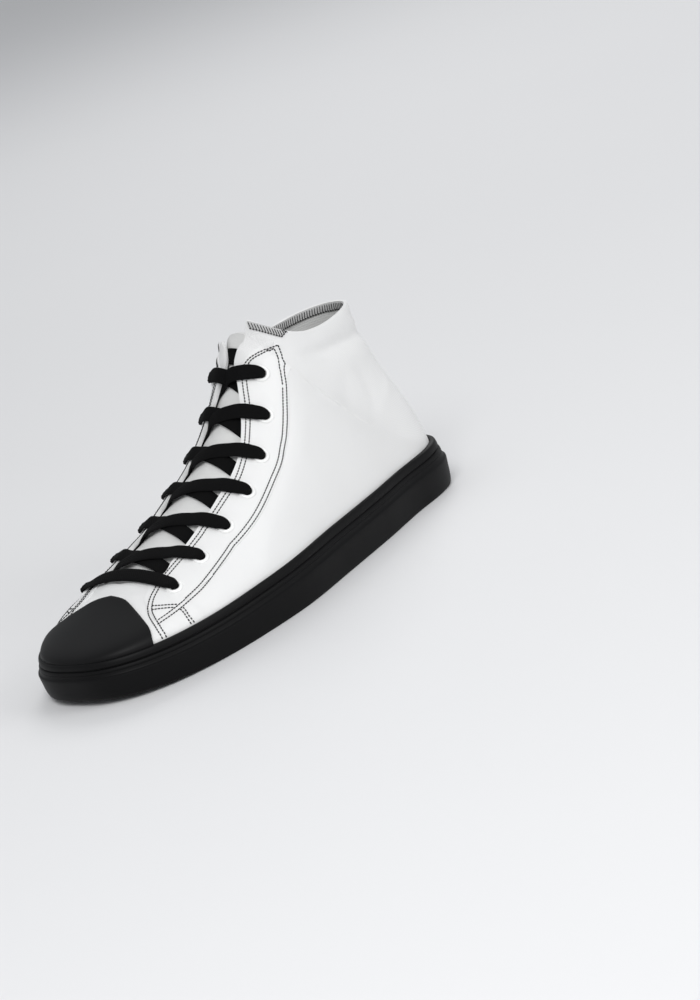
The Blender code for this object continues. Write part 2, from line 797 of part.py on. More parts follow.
def hole_cutter(name, matrix, collection):
    """Cylinder that cuts one eyelet hole through eyestay and upper."""
    bm = bmesh.new()
    radius = EYELET_BORE / 2 + 0.0005 + CLEARANCE
    bmesh.ops.create_cone(
        bm, cap_ends=True, segments=EYELET_STEPS, radius1=radius, radius2=radius, depth=0.012, matrix=matrix
    )
    return link_mesh(name, bm, None, collection)


def strip_heights(sections, across, start_side, lift):
    """Heights of a lace strip over the upper: above the eyelets, and down on the tongue in the throat."""
    over_panel = CLEARANCE + EYESTAY_THICKNESS + EYELET_RIM + LACE_CLEARANCE + LACE_THICKNESS / 2
    over_tongue = -UPPER_WALL + CLEARANCE + LACE_THICKNESS / 2 + lift
    edge = 1 - throat_turn(sections)
    inside = np.clip((edge - LACE_EDGE_MARGIN - np.abs(across)) / LACE_DROP, 0, 1)
    inside = inside * inside * (3 - 2 * inside) * abs(start_side)
    if start_side:
        inside = np.where(np.sign(across) == start_side, 1.0, inside)
    return over_panel + (over_tongue - over_panel) * inside


def strip_rings(start, end, start_side, lift):
    """Rings of a flat lace strip between two (section, across) places on the upper."""
    share = np.linspace(0, 1, LACE_STEPS)
    sections = start[0] + (end[0] - start[0]) * share
    across = start[1] + (end[1] - start[1]) * share
    rise_at = lift * np.sin(share * math.pi)
    middle = lifted_point(sections, across, strip_heights(sections, across, start_side, rise_at))
    normals = shell_normal(sections, across)
    tangents = np.gradient(middle, axis=0)
    tangents /= np.linalg.norm(tangents, axis=1, keepdims=True)
    sideways = np.cross(normals, tangents)
    sideways /= np.linalg.norm(sideways, axis=1, keepdims=True)
    over = np.cross(tangents, sideways)
    half = LACE_WIDTH / 2
    rise = LACE_THICKNESS / 2
    profile = ((-1.0, 0.0), (-0.85, -1.0), (0.85, -1.0), (1.0, 0.0), (0.85, 1.0), (-0.85, 1.0))
    rings = []
    for step in range(LACE_STEPS):
        rings.append([
            middle[step] + sideways[step] * half * wide + over[step] * rise * high
            for wide, high in profile
        ])
    return rings


def strip_solid(name, rings, material, collection):
    """Closed strip of lace through its rings."""
    bm = bmesh.new()
    rows = [add_points(bm, ring) for ring in rings]
    for first, second in zip(rows, rows[1:]):
        add_quads(bm, first, second, True)
    bm.faces.new(rows[0])
    bm.faces.new(rows[-1])
    return link_mesh(name, bm, material, collection)


def build_laces(parts, cutters):
    """Lace: a bar across the lowest eyelets and a crossing above each pair."""
    outer = list(zip(*eyelet_line(1)))
    inner = list(zip(*eyelet_line(-1)))
    cotton = make_material("lace_cotton", (0.010, 0.010, 0.011), 0.8)
    strip_solid("lace_bar", strip_rings(inner[0], outer[0], 0, 0.0), cotton, parts)
    for number in range(EYELETS_A_SIDE - 1):
        ways = (
            (outer[number], inner[number + 1], 0.0),
            (inner[number], outer[number + 1], LACE_THICKNESS - LACE_BITE),
        )
        strips = []
        for start, end, lift in ways:
            side = math.copysign(1, start[1])
            section = start[0] + (end[0] - start[0]) * LACE_RISE
            edge = 1 - float(throat_turn(section)) - LACE_START_MARGIN
            strips.append(strip_rings((section, side * edge), end, side, lift))
        under = strip_solid(f"lace_crossing_{number + 1}", strips[0], cotton, parts)
        over = strip_solid(f"lace_over_{number + 1}", strips[1], None, cutters)
        join = under.modifiers.new("join", "BOOLEAN")
        join.operation = "UNION"
        join.solver = "EXACT"
        join.object = over


def clear_scene():
    """Remove what the scene starts with."""
    for thing in list(bpy.data.objects):
        bpy.data.objects.remove(thing)


def new_collection(name):
    """Collection linked to the scene."""
    collection = bpy.data.collections.new(name)
    bpy.context.scene.collection.children.link(collection)
    return collection


def main():
    """Build every part of the shoe."""
    clear_scene()
    parts = new_collection(COLLECTION)
    cutters = new_collection(CUTTERS)
    build_outsole(parts, cutters)
    build_insole(parts)
    upper = build_upper(parts)
    build_toe_cap(parts, cutters)
    build_tongue(parts)
    panels = {
        1: build_eyestay(1, "eyestay_outer", parts),
        -1: build_eyestay(-1, "eyestay_inner", parts),
    }
    for side, label in ((1, "outer"), (-1, "inner")):
        sections, across = eyelet_line(side)
        for number, (section, over) in enumerate(zip(sections, across), start=1):
            matrix = frame_on_shell(section, over, CLEARANCE + EYESTAY_THICKNESS)
            build_eyelet(f"eyelet_{label}_{number}", matrix, parts)
            hole = hole_cutter(f"eyelet_hole_{label}_{number}", matrix, cutters)
            cut(upper, hole)
            cut(panels[side], hole)
    build_laces(parts, cutters)
    for thing in cutters.objects:
        thing.hide_render = True
        thing.display_type = "WIRE"


main()
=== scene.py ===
"""A left high top sneaker: canvas upper, rubber cup sole and toe cap, flat laces, dressed over its solids.

Metres, +Z up. The toe points along +X, the outer side of the foot is +Y, and the origin lies on the
ground under the middle of the heel.
"""

import logging
import math
from collections.abc import Iterable, Iterator
from contextlib import contextmanager
from dataclasses import dataclass, field
from enum import Enum

import bmesh
import bpy
import numpy as np
from mathutils import Matrix, Vector


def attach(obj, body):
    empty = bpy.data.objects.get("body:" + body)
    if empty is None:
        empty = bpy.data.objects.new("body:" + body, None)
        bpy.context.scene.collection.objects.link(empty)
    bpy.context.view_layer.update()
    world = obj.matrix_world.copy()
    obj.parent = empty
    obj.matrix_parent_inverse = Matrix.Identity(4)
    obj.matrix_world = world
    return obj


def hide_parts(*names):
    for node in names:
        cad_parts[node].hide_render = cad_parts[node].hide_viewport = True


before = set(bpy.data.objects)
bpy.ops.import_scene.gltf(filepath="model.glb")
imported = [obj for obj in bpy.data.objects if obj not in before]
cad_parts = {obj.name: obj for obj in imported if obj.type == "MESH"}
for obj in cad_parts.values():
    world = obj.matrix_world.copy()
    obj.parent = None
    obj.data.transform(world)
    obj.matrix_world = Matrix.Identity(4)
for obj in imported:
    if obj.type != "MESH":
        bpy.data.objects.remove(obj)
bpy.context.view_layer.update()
BODY = "root"
LOG = logging.getLogger("sneaker")
MM = 0.001


class Side(Enum):
    """Which side of the foot a piece is on."""

    OUTER = 1
    INNER = -1


def run_length(path: np.ndarray) -> np.ndarray:
    """Distance travelled at each point of a line, from 0 at its start."""
    return np.concatenate([[0], np.cumsum(np.linalg.norm(np.diff(path, axis=0), axis=1))])


def unit(vectors: np.ndarray) -> np.ndarray:
    """Vectors of the last axis at unit length."""
    return vectors / np.maximum(np.linalg.norm(vectors, axis=-1, keepdims=True), 1e-12)


@dataclass(frozen=True)
class Table:
    """Short table with named columns, read along a smooth curve through its rows."""

    columns: tuple[str, ...]
    rows: tuple[tuple[float, ...], ...]

    def read(self, key: str, name: str, at: np.ndarray | float) -> np.ndarray:
        """Read one column at any value of another.

        Args:
            key: The column that the place is given in.
            name: The column to read.
            at: One place or an array of them, held inside the table.

        Returns:
            The value of the column there.
        """
        keys = np.array([row[self.columns.index(key)] for row in self.rows])
        values = np.array([row[self.columns.index(name)] for row in self.rows])
        at = np.clip(np.asarray(at, dtype=float), keys[0], keys[-1])
        slopes = np.gradient(values, keys)
        index = np.clip(np.searchsorted(keys, at, side="right") - 1, 0, len(keys) - 2)
        width = keys[index + 1] - keys[index]
        share = (at - keys[index]) / width
        flat = 2 * share**3 - 3 * share**2 + 1
        start = (share**3 - 2 * share**2 + share) * width
        end = (share**3 - share**2) * width
        return (
            flat * values[index]
            + (1 - flat) * values[index + 1]
            + start * slopes[index]
            + end * slopes[index + 1]
        )

    def even(self, count: int) -> np.ndarray:
        """Points of a two-column line at even shares of its length in the table."""
        rows = np.array(self.rows)
        steps = run_length(rows * (1, 6))
        at = np.linspace(0, steps[-1], count)
        curve = Table(("step", "first", "second"), tuple((s, *r) for s, r in zip(steps, self.rows)))
        return np.stack([curve.read("step", "first", at), curve.read("step", "second", at)], axis=-1)


def round_end(distance: np.ndarray | float, reach: float, power: np.ndarray | float) -> np.ndarray:
    """Share of the full width at a distance from a rounded end whose curve takes up the reach."""
    away = np.clip(1 - np.asarray(distance, dtype=float) / reach, 0, 1)
    return (1 - away**power) ** (1 / power)


def smooth_step(value: np.ndarray | float) -> np.ndarray:
    """Share that runs softly from 0 to 1."""
    value = np.clip(value, 0, 1)
    return value * value * (3 - 2 * value)


@dataclass(frozen=True)
class Crease:
    """Soft trough or ridge along a line of the upper."""

    line: tuple[tuple[float, float], ...]
    depth: float
    width: float
    sides: tuple[Side, ...] = (Side.OUTER, Side.INNER)


@dataclass
class Last:
    """Form of the shoe: outline of the sole, shell of the upper and the creases worn into it."""

    sole_length: float = 0.298
    ball_width: float = 0.1115
    heel_seat: float = 0.045
    collar_height: float = 0.119
    side_height: float = 0.0270
    toe_side_height: float = 0.0200
    side_wall: float = 0.005
    sole_floor: float = 0.008
    toe_spring: float = 0.0040
    well_clearance: float = 0.0005
    heel_round: float = 0.160
    heel_power: float = 2.3
    toe_round: float = 0.235
    toe_power: float = 2.6
    spring_start: float = 0.74
    toe_low_start: float = 0.45
    toe_box_round: float = 0.290
    toe_box_power: float = 1.7
    width_blend: float = 1.5
    throat_start: float = 2.70
    flap_drop: float = 1.7
    flap_start: float = 8.0
    corner: float = 9.0
    top: float = 12.0
    plan: Table = Table(
        ("station", "centre", "half_width"),
        (
            (0.00, 0.003, 0.342), (0.15, -0.022, 0.345), (0.30, 0.022, 0.368),
            (0.45, 0.046, 0.403), (0.60, 0.035, 0.463), (0.72, -0.016, 0.496),
            (0.85, -0.072, 0.499), (1.00, -0.067, 0.446),
        ),
    )
    back: Table = Table(
        ("level", "lean"),
        (
            (0.00, 0.000), (0.16, 0.009), (0.35, 0.026), (0.55, 0.049), (0.74, 0.063),
            (0.87, 0.068), (1.00, 0.069),
        ),
    )
    top_width: Table = Table(
        ("station", "half_width"),
        (
            (0.00, 0.210), (0.12, 0.210), (0.28, 0.212), (0.42, 0.230), (0.55, 0.285),
            (0.70, 0.365), (0.80, 0.390), (0.90, 0.410), (1.00, 0.400),
        ),
    )
    sections: Table = Table(
        ("number", "travel", "crown_station", "crown_level", "crown_shift", "reach", "power", "curl"),
        (
            (0, 0.000, 0.9816, 0.300, 0.000, 1.00, 2.4, 1.0),
            (1, 0.060, 0.921, 0.325, 0.000, 1.00, 2.3, 1.0),
            (2, 0.130, 0.855, 0.362, -0.010, 1.00, 2.2, 1.0),
            (3, 0.200, 0.788, 0.420, -0.035, 0.60, 2.0, 1.0),
            (4, 0.280, 0.715, 0.477, -0.041, 0.40, 1.9, 1.0),
            (5, 0.390, 0.620, 0.587, -0.038, 0.25, 1.9, 1.0),
            (6, 0.520, 0.540, 0.710, -0.027, 0.26, 1.9, 1.0),
            (7, 0.660, 0.475, 0.860, -0.015, 0.28, 2.0, 1.1),
            (8, 0.820, 0.432, 0.995, -0.006, 0.26, 2.1, 1.3),
            (9, 1.000, 0.414, 1.075, 0.003, 0.25, 2.2, 1.8),
            (10, 1.280, 0.407, 1.115, 0.010, 0.25, 2.3, 2.8),
            (11, 1.640, 0.404, 1.155, 0.015, 0.25, 2.3, 4.5),
            (12, 2.000, 0.402, 1.212, 0.020, 0.25, 2.3, 4.6),
        ),
    )
    throat: Table = Table(
        ("section", "turn"),
        (
            (2.70, 1.000), (2.80, 0.800), (3.00, 0.690), (3.60, 0.660), (4.40, 0.655),
            (5.10, 0.700), (5.60, 0.705), (6.00, 0.722), (6.60, 0.785), (7.10, 0.850),
            (7.60, 0.910), (8.10, 0.960), (8.80, 0.962), (10.0, 0.925), (11.5, 0.885),
            (12.0, 0.862),
        ),
    )
    creases: tuple[Crease, ...] = (
        Crease(
            ((11.50, 0.55), (11.56, 0.44), (11.57, 0.30), (11.52, 0.13), (11.42, 0.0)), -2.6 * MM, 4.2 * MM
        ),
        Crease(((11.18, 0.40), (11.20, 0.26), (11.14, 0.10)), 0.6 * MM, 5.0 * MM),
        Crease(((11.92, 0.52), (11.93, 0.30), (11.92, 0.0)), 0.5 * MM, 3.5 * MM),
        Crease(((11.00, 0.60), (9.40, 0.60), (7.90, 0.56)), -0.35 * MM, 4.0 * MM),
        Crease(((11.00, 0.47), (9.60, 0.50), (8.60, 0.51)), 0.35 * MM, 4.0 * MM),
        Crease(((11.10, 0.33), (10.40, 0.40), (9.80, 0.44)), -0.40 * MM, 4.0 * MM),
        Crease(((11.00, 0.22), (10.45, 0.24), (10.05, 0.30)), -0.55 * MM, 4.5 * MM),
        Crease(((10.70, 0.05), (10.35, 0.16), (10.20, 0.26)), 0.45 * MM, 4.0 * MM),
        Crease(((9.60, 0.03), (9.45, 0.20), (9.00, 0.32)), -0.35 * MM, 6.0 * MM),
        Crease(((2.42, 1.00), (2.44, 0.86), (2.50, 0.74)), -0.55 * MM, 2.5 * MM),
        Crease(((2.60, 1.00), (2.62, 0.90), (2.66, 0.80)), 0.40 * MM, 2.5 * MM),
        Crease(((4.20, 0.24), (5.20, 0.14), (6.20, 0.10)), -0.35 * MM, 7.0 * MM),
        Crease(((12.0, 0.0), (10.5, 0.0), (9.0, 0.0)), -0.45 * MM, 0.8 * MM),
    )

    @property
    def inset(self) -> float:
        """Distance from the sole's outline to the upper's outer face."""
        return self.side_wall + self.well_clearance

    @property
    def heel_x(self) -> float:
        """Place of the upper's back at the sole."""
        return self.inset - self.heel_seat

    @property
    def toe_x(self) -> float:
        """Place of the upper's tip."""
        return self.sole_length - self.heel_seat - self.inset

    def station(self, x: np.ndarray | float) -> np.ndarray:
        """Station along the sole of a place along X."""
        return (np.asarray(x, dtype=float) + self.heel_seat) / self.sole_length

    def spring(self, x: np.ndarray | float) -> np.ndarray:
        """Height of the sole's underside above the ground."""
        rise = np.clip((self.station(x) - self.spring_start) / (1 - self.spring_start), 0, None)
        return self.toe_spring * rise**2

    def side(self, x: np.ndarray | float) -> np.ndarray:
        """Height of the sole's side, lower toward the toe."""
        fall = np.clip((self.station(x) - self.toe_low_start) / (1 - self.toe_low_start), 0, 1)
        return self.side_height + (self.toe_side_height - self.side_height) * fall**1.5

    def rim(self, x: np.ndarray | float) -> np.ndarray:
        """Level of the top of the sole's side."""
        return self.spring(x) + self.side(x)

    def centre(self, x: np.ndarray | float) -> np.ndarray:
        """Middle of the outline at a place along X."""
        return self.ball_width * self.plan.read("station", "centre", self.station(x))

    def straight_half(self, x: np.ndarray | float, inset: float) -> np.ndarray:
        """Half-width of the outline before heel and toe are rounded."""
        return self.ball_width * self.plan.read("station", "half_width", self.station(x)) - inset

    def half(self, x: np.ndarray | float, inset: float) -> np.ndarray:
        """Half-width of the outline drawn in by an inset."""
        x = np.asarray(x, dtype=float)
        heel = round_end(x + self.heel_seat - inset, self.heel_round * self.sole_length, self.heel_power)
        front = self.sole_length - self.heel_seat - inset - x
        toe = round_end(front, self.toe_round * self.sole_length, self.toe_power)
        return self.straight_half(x, inset) * heel * toe

    def stations(self, inset: float, count: int) -> np.ndarray:
        """Places along X from heel to toe, closer at both ends."""
        share = (1 - np.cos(np.linspace(0, math.pi, count))) / 2
        return inset - self.heel_seat + share * (self.sole_length - 2 * inset)

    def back_at(self, level: np.ndarray | float) -> np.ndarray:
        """Place along X of the back of the upper at a level."""
        share = (np.asarray(level) - self.side_height) / (self.collar_height - self.side_height)
        return self.heel_x + self.sole_length * self.back.read("level", "lean", share)

    def column(self, name: str, section: np.ndarray | float) -> np.ndarray:
        """One column of the sections at a section number."""
        return self.sections.read("number", name, section)

    def base(self, section: np.ndarray) -> tuple[np.ndarray, np.ndarray]:
        """Foot of a section: on the feather line from toe to heel, then up the back seam."""
        travel = self.column("travel", section)
        along = self.toe_x + (self.heel_x - self.toe_x) * np.clip(travel, 0, 1)
        up = self.side_height + (self.collar_height - self.side_height) * np.clip(travel - 1, 0, 1)
        on_back = travel > 1
        return np.where(on_back, self.back_at(up), along), np.where(on_back, up, self.rim(along))

    def crown(self, section: np.ndarray) -> tuple[np.ndarray, np.ndarray]:
        """Top of a section on the ridge of the foot."""
        x = self.sole_length * self.column("crown_station", section) - self.heel_seat
        x = np.minimum(x, self.toe_x)
        full = self.collar_height * self.column("crown_level", section)
        box = round_end(self.toe_x - x, self.toe_box_round * self.sole_length, self.toe_box_power)
        return x, self.rim(x) + (full - self.rim(x)) * box

    def ceiling(self, x: np.ndarray) -> np.ndarray:
        """Highest level of the upper at a place along X."""
        crown_x, crown_z = self.crown(np.linspace(0, self.top, 80))
        order = np.argsort(crown_x)
        return np.interp(x, crown_x[order], np.minimum(crown_z, self.collar_height)[order])

    def half_width(self, x: np.ndarray, z: np.ndarray) -> np.ndarray:
        """Half-width of the upper's walls at a place in its side view."""
        top_half = self.ball_width * self.top_width.read("station", "half_width", self.station(x))
        side = self.straight_half(x, self.inset)
        rim = self.rim(x)
        height = np.clip((z - rim) / np.maximum(self.ceiling(x) - rim, 0.004), 0, 1)
        side = side + (top_half - side) * height**self.width_blend
        heel = round_end(x - self.back_at(z), self.heel_round * self.sole_length, self.heel_power)
        toe = round_end(self.toe_x - x, self.toe_round * self.sole_length, self.toe_power)
        return side * heel * toe

    def point(self, section: np.ndarray | float, across: np.ndarray | float) -> np.ndarray:
        """Point of the upper's plain outer face.

        Args:
            section: Section number, from 0 at the toe to 12 at the collar.
            across: -1 at the inner feather line, 0 on the crown, 1 at the outer feather line.

        Returns:
            Points in metres, in the last axis.
        """
        section, across = np.broadcast_arrays(np.asarray(section, float), np.asarray(across, float))
        rise = np.sin(np.clip(1 - np.abs(across), 0, 1) * math.pi / 2)
        base_x, base_z = self.base(section)
        crown_x, crown_z = self.crown(section)
        x = base_x + (crown_x - base_x) * rise
        z = base_z + (crown_z - base_z) * rise ** self.column("curl", section)
        length = np.hypot(crown_x - base_x, crown_z - base_z)
        reach = np.minimum(self.collar_height * self.column("reach", section), np.maximum(length, 1e-6))
        narrowing = round_end(length * (1 - rise), reach, self.column("power", section))
        shift = self.ball_width * self.column("crown_shift", section) * rise**1.5
        y = self.centre(x) + shift + np.sign(across) * self.half_width(x, z) * narrowing
        return np.stack([x, y, z], axis=-1)

    def normal(self, section: np.ndarray | float, across: np.ndarray | float) -> np.ndarray:
        """Outward unit normal of the plain outer face."""
        small = 1e-3
        section, across = np.broadcast_arrays(np.asarray(section, float), np.asarray(across, float))
        section = np.maximum(section, 4 * small)
        low = np.clip(section - small, 0, self.top)
        high = np.clip(section + small, 0, self.top)
        along = self.point(high, across) - self.point(low, across)
        right = np.clip(across + small, -1, 1)
        left = np.clip(across - small, -1, 1)
        return unit(np.cross(self.point(section, right) - self.point(section, left), along))

    def relief(self, section: np.ndarray, across: np.ndarray) -> np.ndarray:
        """Height of the creases at places of the upper."""
        section, across = np.broadcast_arrays(np.asarray(section, float), np.asarray(across, float))
        places = self.point(section, across).reshape(-1, 3)
        height = np.zeros(len(places))
        for crease in self.creases:
            line = Table(("section", "turn"), crease.line).even(28)
            fade = np.sin(np.linspace(0.12, math.pi - 0.12, 28)) ** 0.6
            for side in crease.sides:
                spine = self.point(line[:, 0], side.value * (1 - line[:, 1]))
                squares = ((places[:, None, :] - spine[None, :, :]) ** 2).sum(axis=2)
                near = squares.argmin(axis=1)
                share = np.exp(-squares[np.arange(len(places)), near] / crease.width**2)
                height += crease.depth * share * fade[near]
        return height.reshape(section.shape)

    def surface(
        self, section: np.ndarray | float, across: np.ndarray | float, height: np.ndarray | float
    ) -> np.ndarray:
        """Point at a height above the creased outer face."""
        section, across = np.broadcast_arrays(np.asarray(section, float), np.asarray(across, float))
        lift = self.relief(section, across) + height
        return self.point(section, across) + self.normal(section, across) * lift[..., None]

    def throat_turn(self, section: np.ndarray | float) -> np.ndarray:
        """Turn at which the quarters end."""
        turn = self.throat.read("section", "turn", section)
        return np.where(np.asarray(section) <= self.throat_start, 1.0, np.minimum(turn, 1.0))

    def flap(self, row: np.ndarray | float, turn: np.ndarray | float, side: Side) -> np.ndarray:
        """Section number of a row, brought lower toward the throat on the inner side's flap."""
        upward = np.clip((np.asarray(row) - self.flap_start) / (self.top - self.flap_start), 0, 1)
        drop = self.flap_drop if side is Side.INNER else 0.0
        return row - drop * upward * np.asarray(turn) ** 3

    def trail(self, table: Table, count: int) -> np.ndarray:
        """Rows and turns along a table's line, at even distances over the surface."""
        rows = np.array(table.rows)
        places = self.point(rows[:, 0], 1 - rows[:, 1])
        steps = np.concatenate([[0], np.cumsum(np.linalg.norm(np.diff(places, axis=0), axis=1) + 1e-5)])
        curve = Table(("step", "first", "second"), tuple((s, *r) for s, r in zip(steps, table.rows)))
        at = np.linspace(0, steps[-1], count)
        return np.stack([curve.read("step", "first", at), curve.read("step", "second", at)], axis=-1)

    def beside(self, line: np.ndarray, side: Side, distance: float) -> np.ndarray:
        """Move a (row, turn) line sideways over the surface.

        Args:
            line: Rows and turns, one pair a point.
            side: Side of the foot.
            distance: Metres to the left of travel as seen on the outer side.

        Returns:
            The moved pairs.
        """
        small = 0.01

        def place(rows: np.ndarray, turns: np.ndarray) -> np.ndarray:
            """Points of a line of rows and turns."""
            return self.point(self.flap(rows, turns, side), side.value * (1 - turns))

        rows, turns = line[:, 0], line[:, 1]
        by_row = (place(rows + small, turns) - place(rows - small, turns)) / (2 * small)
        by_turn = (place(rows, turns + small) - place(rows, turns - small)) / (2 * small)
        tangent = unit(np.gradient(place(rows, turns), axis=0))
        normal = self.normal(self.flap(rows, turns, side), side.value * (1 - turns))
        sideways = np.cross(normal, tangent) * side.value
        moved = []
        for index in range(len(line)):
            basis = np.stack([by_row[index], by_turn[index]], axis=1)
            moved.append(np.linalg.lstsq(basis, sideways[index] * distance, rcond=None)[0])
        return line + np.array(moved)


def clear_selection() -> None:
    """Leave edit mode and deselect every object."""
    if bpy.context.object and bpy.context.object.mode != "OBJECT":
        bpy.ops.object.mode_set(mode="OBJECT")
    bpy.ops.object.select_all(action="DESELECT")


def choose(piece: bpy.types.Object) -> None:
    """Make one piece the selected and active one."""
    clear_selection()
    piece.select_set(True)
    bpy.context.view_layer.objects.active = piece


def surface_uv(points: np.ndarray) -> np.ndarray:
    """Place in metres of each point of a grid along its columns and rows, for woven finishes."""
    over = np.linalg.norm(np.diff(points, axis=1), axis=2)
    along = np.linalg.norm(np.diff(points, axis=0), axis=2).mean(axis=1)
    u = np.concatenate([np.zeros((len(points), 1)), np.cumsum(over, axis=1)], axis=1)
    v = np.concatenate([[0], np.cumsum(along)])
    return np.stack([u, np.broadcast_to(v[:, None], u.shape)], axis=-1)


def lay_grid(name: str, points: np.ndarray) -> bpy.types.Object:
    """Lay a grid primitive over rows and columns of points, with its UV map in metres.

    Args:
        name: Name of the new piece.
        points: Rows by columns by 3.

    Returns:
        The new piece.
    """
    rows, columns = points.shape[:2]
    clear_selection()
    bpy.ops.mesh.primitive_grid_add(x_subdivisions=columns - 1, y_subdivisions=rows - 1, size=1)
    piece = bpy.context.object
    piece.name = name
    piece.data.name = name
    mesh = piece.data
    mesh.vertices.foreach_set("co", np.ascontiguousarray(points, dtype=np.float32).reshape(-1))
    corners = np.zeros(len(mesh.loops), dtype=np.int32)
    mesh.loops.foreach_get("vertex_index", corners)
    uv = surface_uv(points).reshape(-1, 2)[corners]
    mesh.uv_layers[0].uv.foreach_set("vector", np.ascontiguousarray(uv, dtype=np.float32).reshape(-1))
    mesh.update()
    return piece


@contextmanager
def editing(piece: bpy.types.Object, action: str = "SELECT") -> Iterator[None]:
    """Edit mode on one piece, with all or nothing of its mesh selected."""
    choose(piece)
    bpy.ops.object.mode_set(mode="EDIT")
    bpy.ops.mesh.select_all(action=action)
    yield
    bpy.ops.object.mode_set(mode="OBJECT")


def merge_doubles(piece: bpy.types.Object, distance: float = 2e-6) -> None:
    """Merge points that lie on each other."""
    with editing(piece):
        bpy.ops.mesh.remove_doubles(threshold=distance)


def flip(piece: bpy.types.Object) -> None:
    """Turn every face of a piece round."""
    with editing(piece):
        bpy.ops.mesh.flip_normals()


def face_away(piece: bpy.types.Object, inside: tuple[float, float, float]) -> None:
    """Turn a sheet's faces so that they look away from a place inside the shoe."""
    mesh = piece.data
    count = len(mesh.polygons)
    normals = np.zeros(count * 3)
    centres = np.zeros(count * 3)
    areas = np.zeros(count)
    mesh.polygons.foreach_get("normal", normals)
    mesh.polygons.foreach_get("center", centres)
    mesh.polygons.foreach_get("area", areas)
    out = ((centres.reshape(-1, 3) - np.array(inside)) * normals.reshape(-1, 3)).sum(axis=1) @ areas
    if out < 0:
        flip(piece)


def recalculate_outward(piece: bpy.types.Object) -> None:
    """Point the faces of a closed piece outward."""
    with editing(piece):
        bpy.ops.mesh.normals_make_consistent(inside=False)


def close_ends(piece: bpy.types.Object) -> None:
    """Fill the open rings of a tube."""
    with editing(piece, "DESELECT"):
        bpy.ops.mesh.select_non_manifold(extend=False, use_boundary=True)
        bpy.ops.mesh.fill_holes(sides=0)


def join(whole: bpy.types.Object, others: Iterable[bpy.types.Object]) -> None:
    """Join other pieces into one."""
    clear_selection()
    for piece in (*others, whole):
        piece.select_set(True)
    bpy.context.view_layer.objects.active = whole
    bpy.ops.object.join()


def add_wall(piece: bpy.types.Object, thickness: float, outward: bool, lining_slot: int = 0) -> None:
    """Give a sheet its wall and apply it."""
    choose(piece)
    wall = piece.modifiers.new("wall", "SOLIDIFY")
    wall.thickness = thickness
    wall.offset = 1.0 if outward else -1.0
    wall.material_offset = lining_slot
    bpy.ops.object.modifier_apply(modifier=wall.name)


def soften_edges(piece: bpy.types.Object, width: float, angle: float = 50.0) -> None:
    """Round the sharp edges of a piece and apply it."""
    choose(piece)
    edge = piece.modifiers.new("soft_edge", "BEVEL")
    edge.limit_method = "ANGLE"
    edge.angle_limit = math.radians(angle)
    edge.width = width
    edge.segments = 2
    edge.harden_normals = False
    bpy.ops.object.modifier_apply(modifier=edge.name)


def finish_piece(
    piece: bpy.types.Object, nodes: tuple[str, ...] = (), angle: float = 40.0
) -> None:
    """Smooth a piece, hang it on the shoe and hide the solids that it stands for."""
    choose(piece)
    bpy.ops.object.shade_smooth_by_angle(angle=math.radians(angle))
    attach(piece, BODY)
    if nodes:
        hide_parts(*nodes)
    LOG.info("%s: %d faces", piece.name, len(piece.data.polygons))


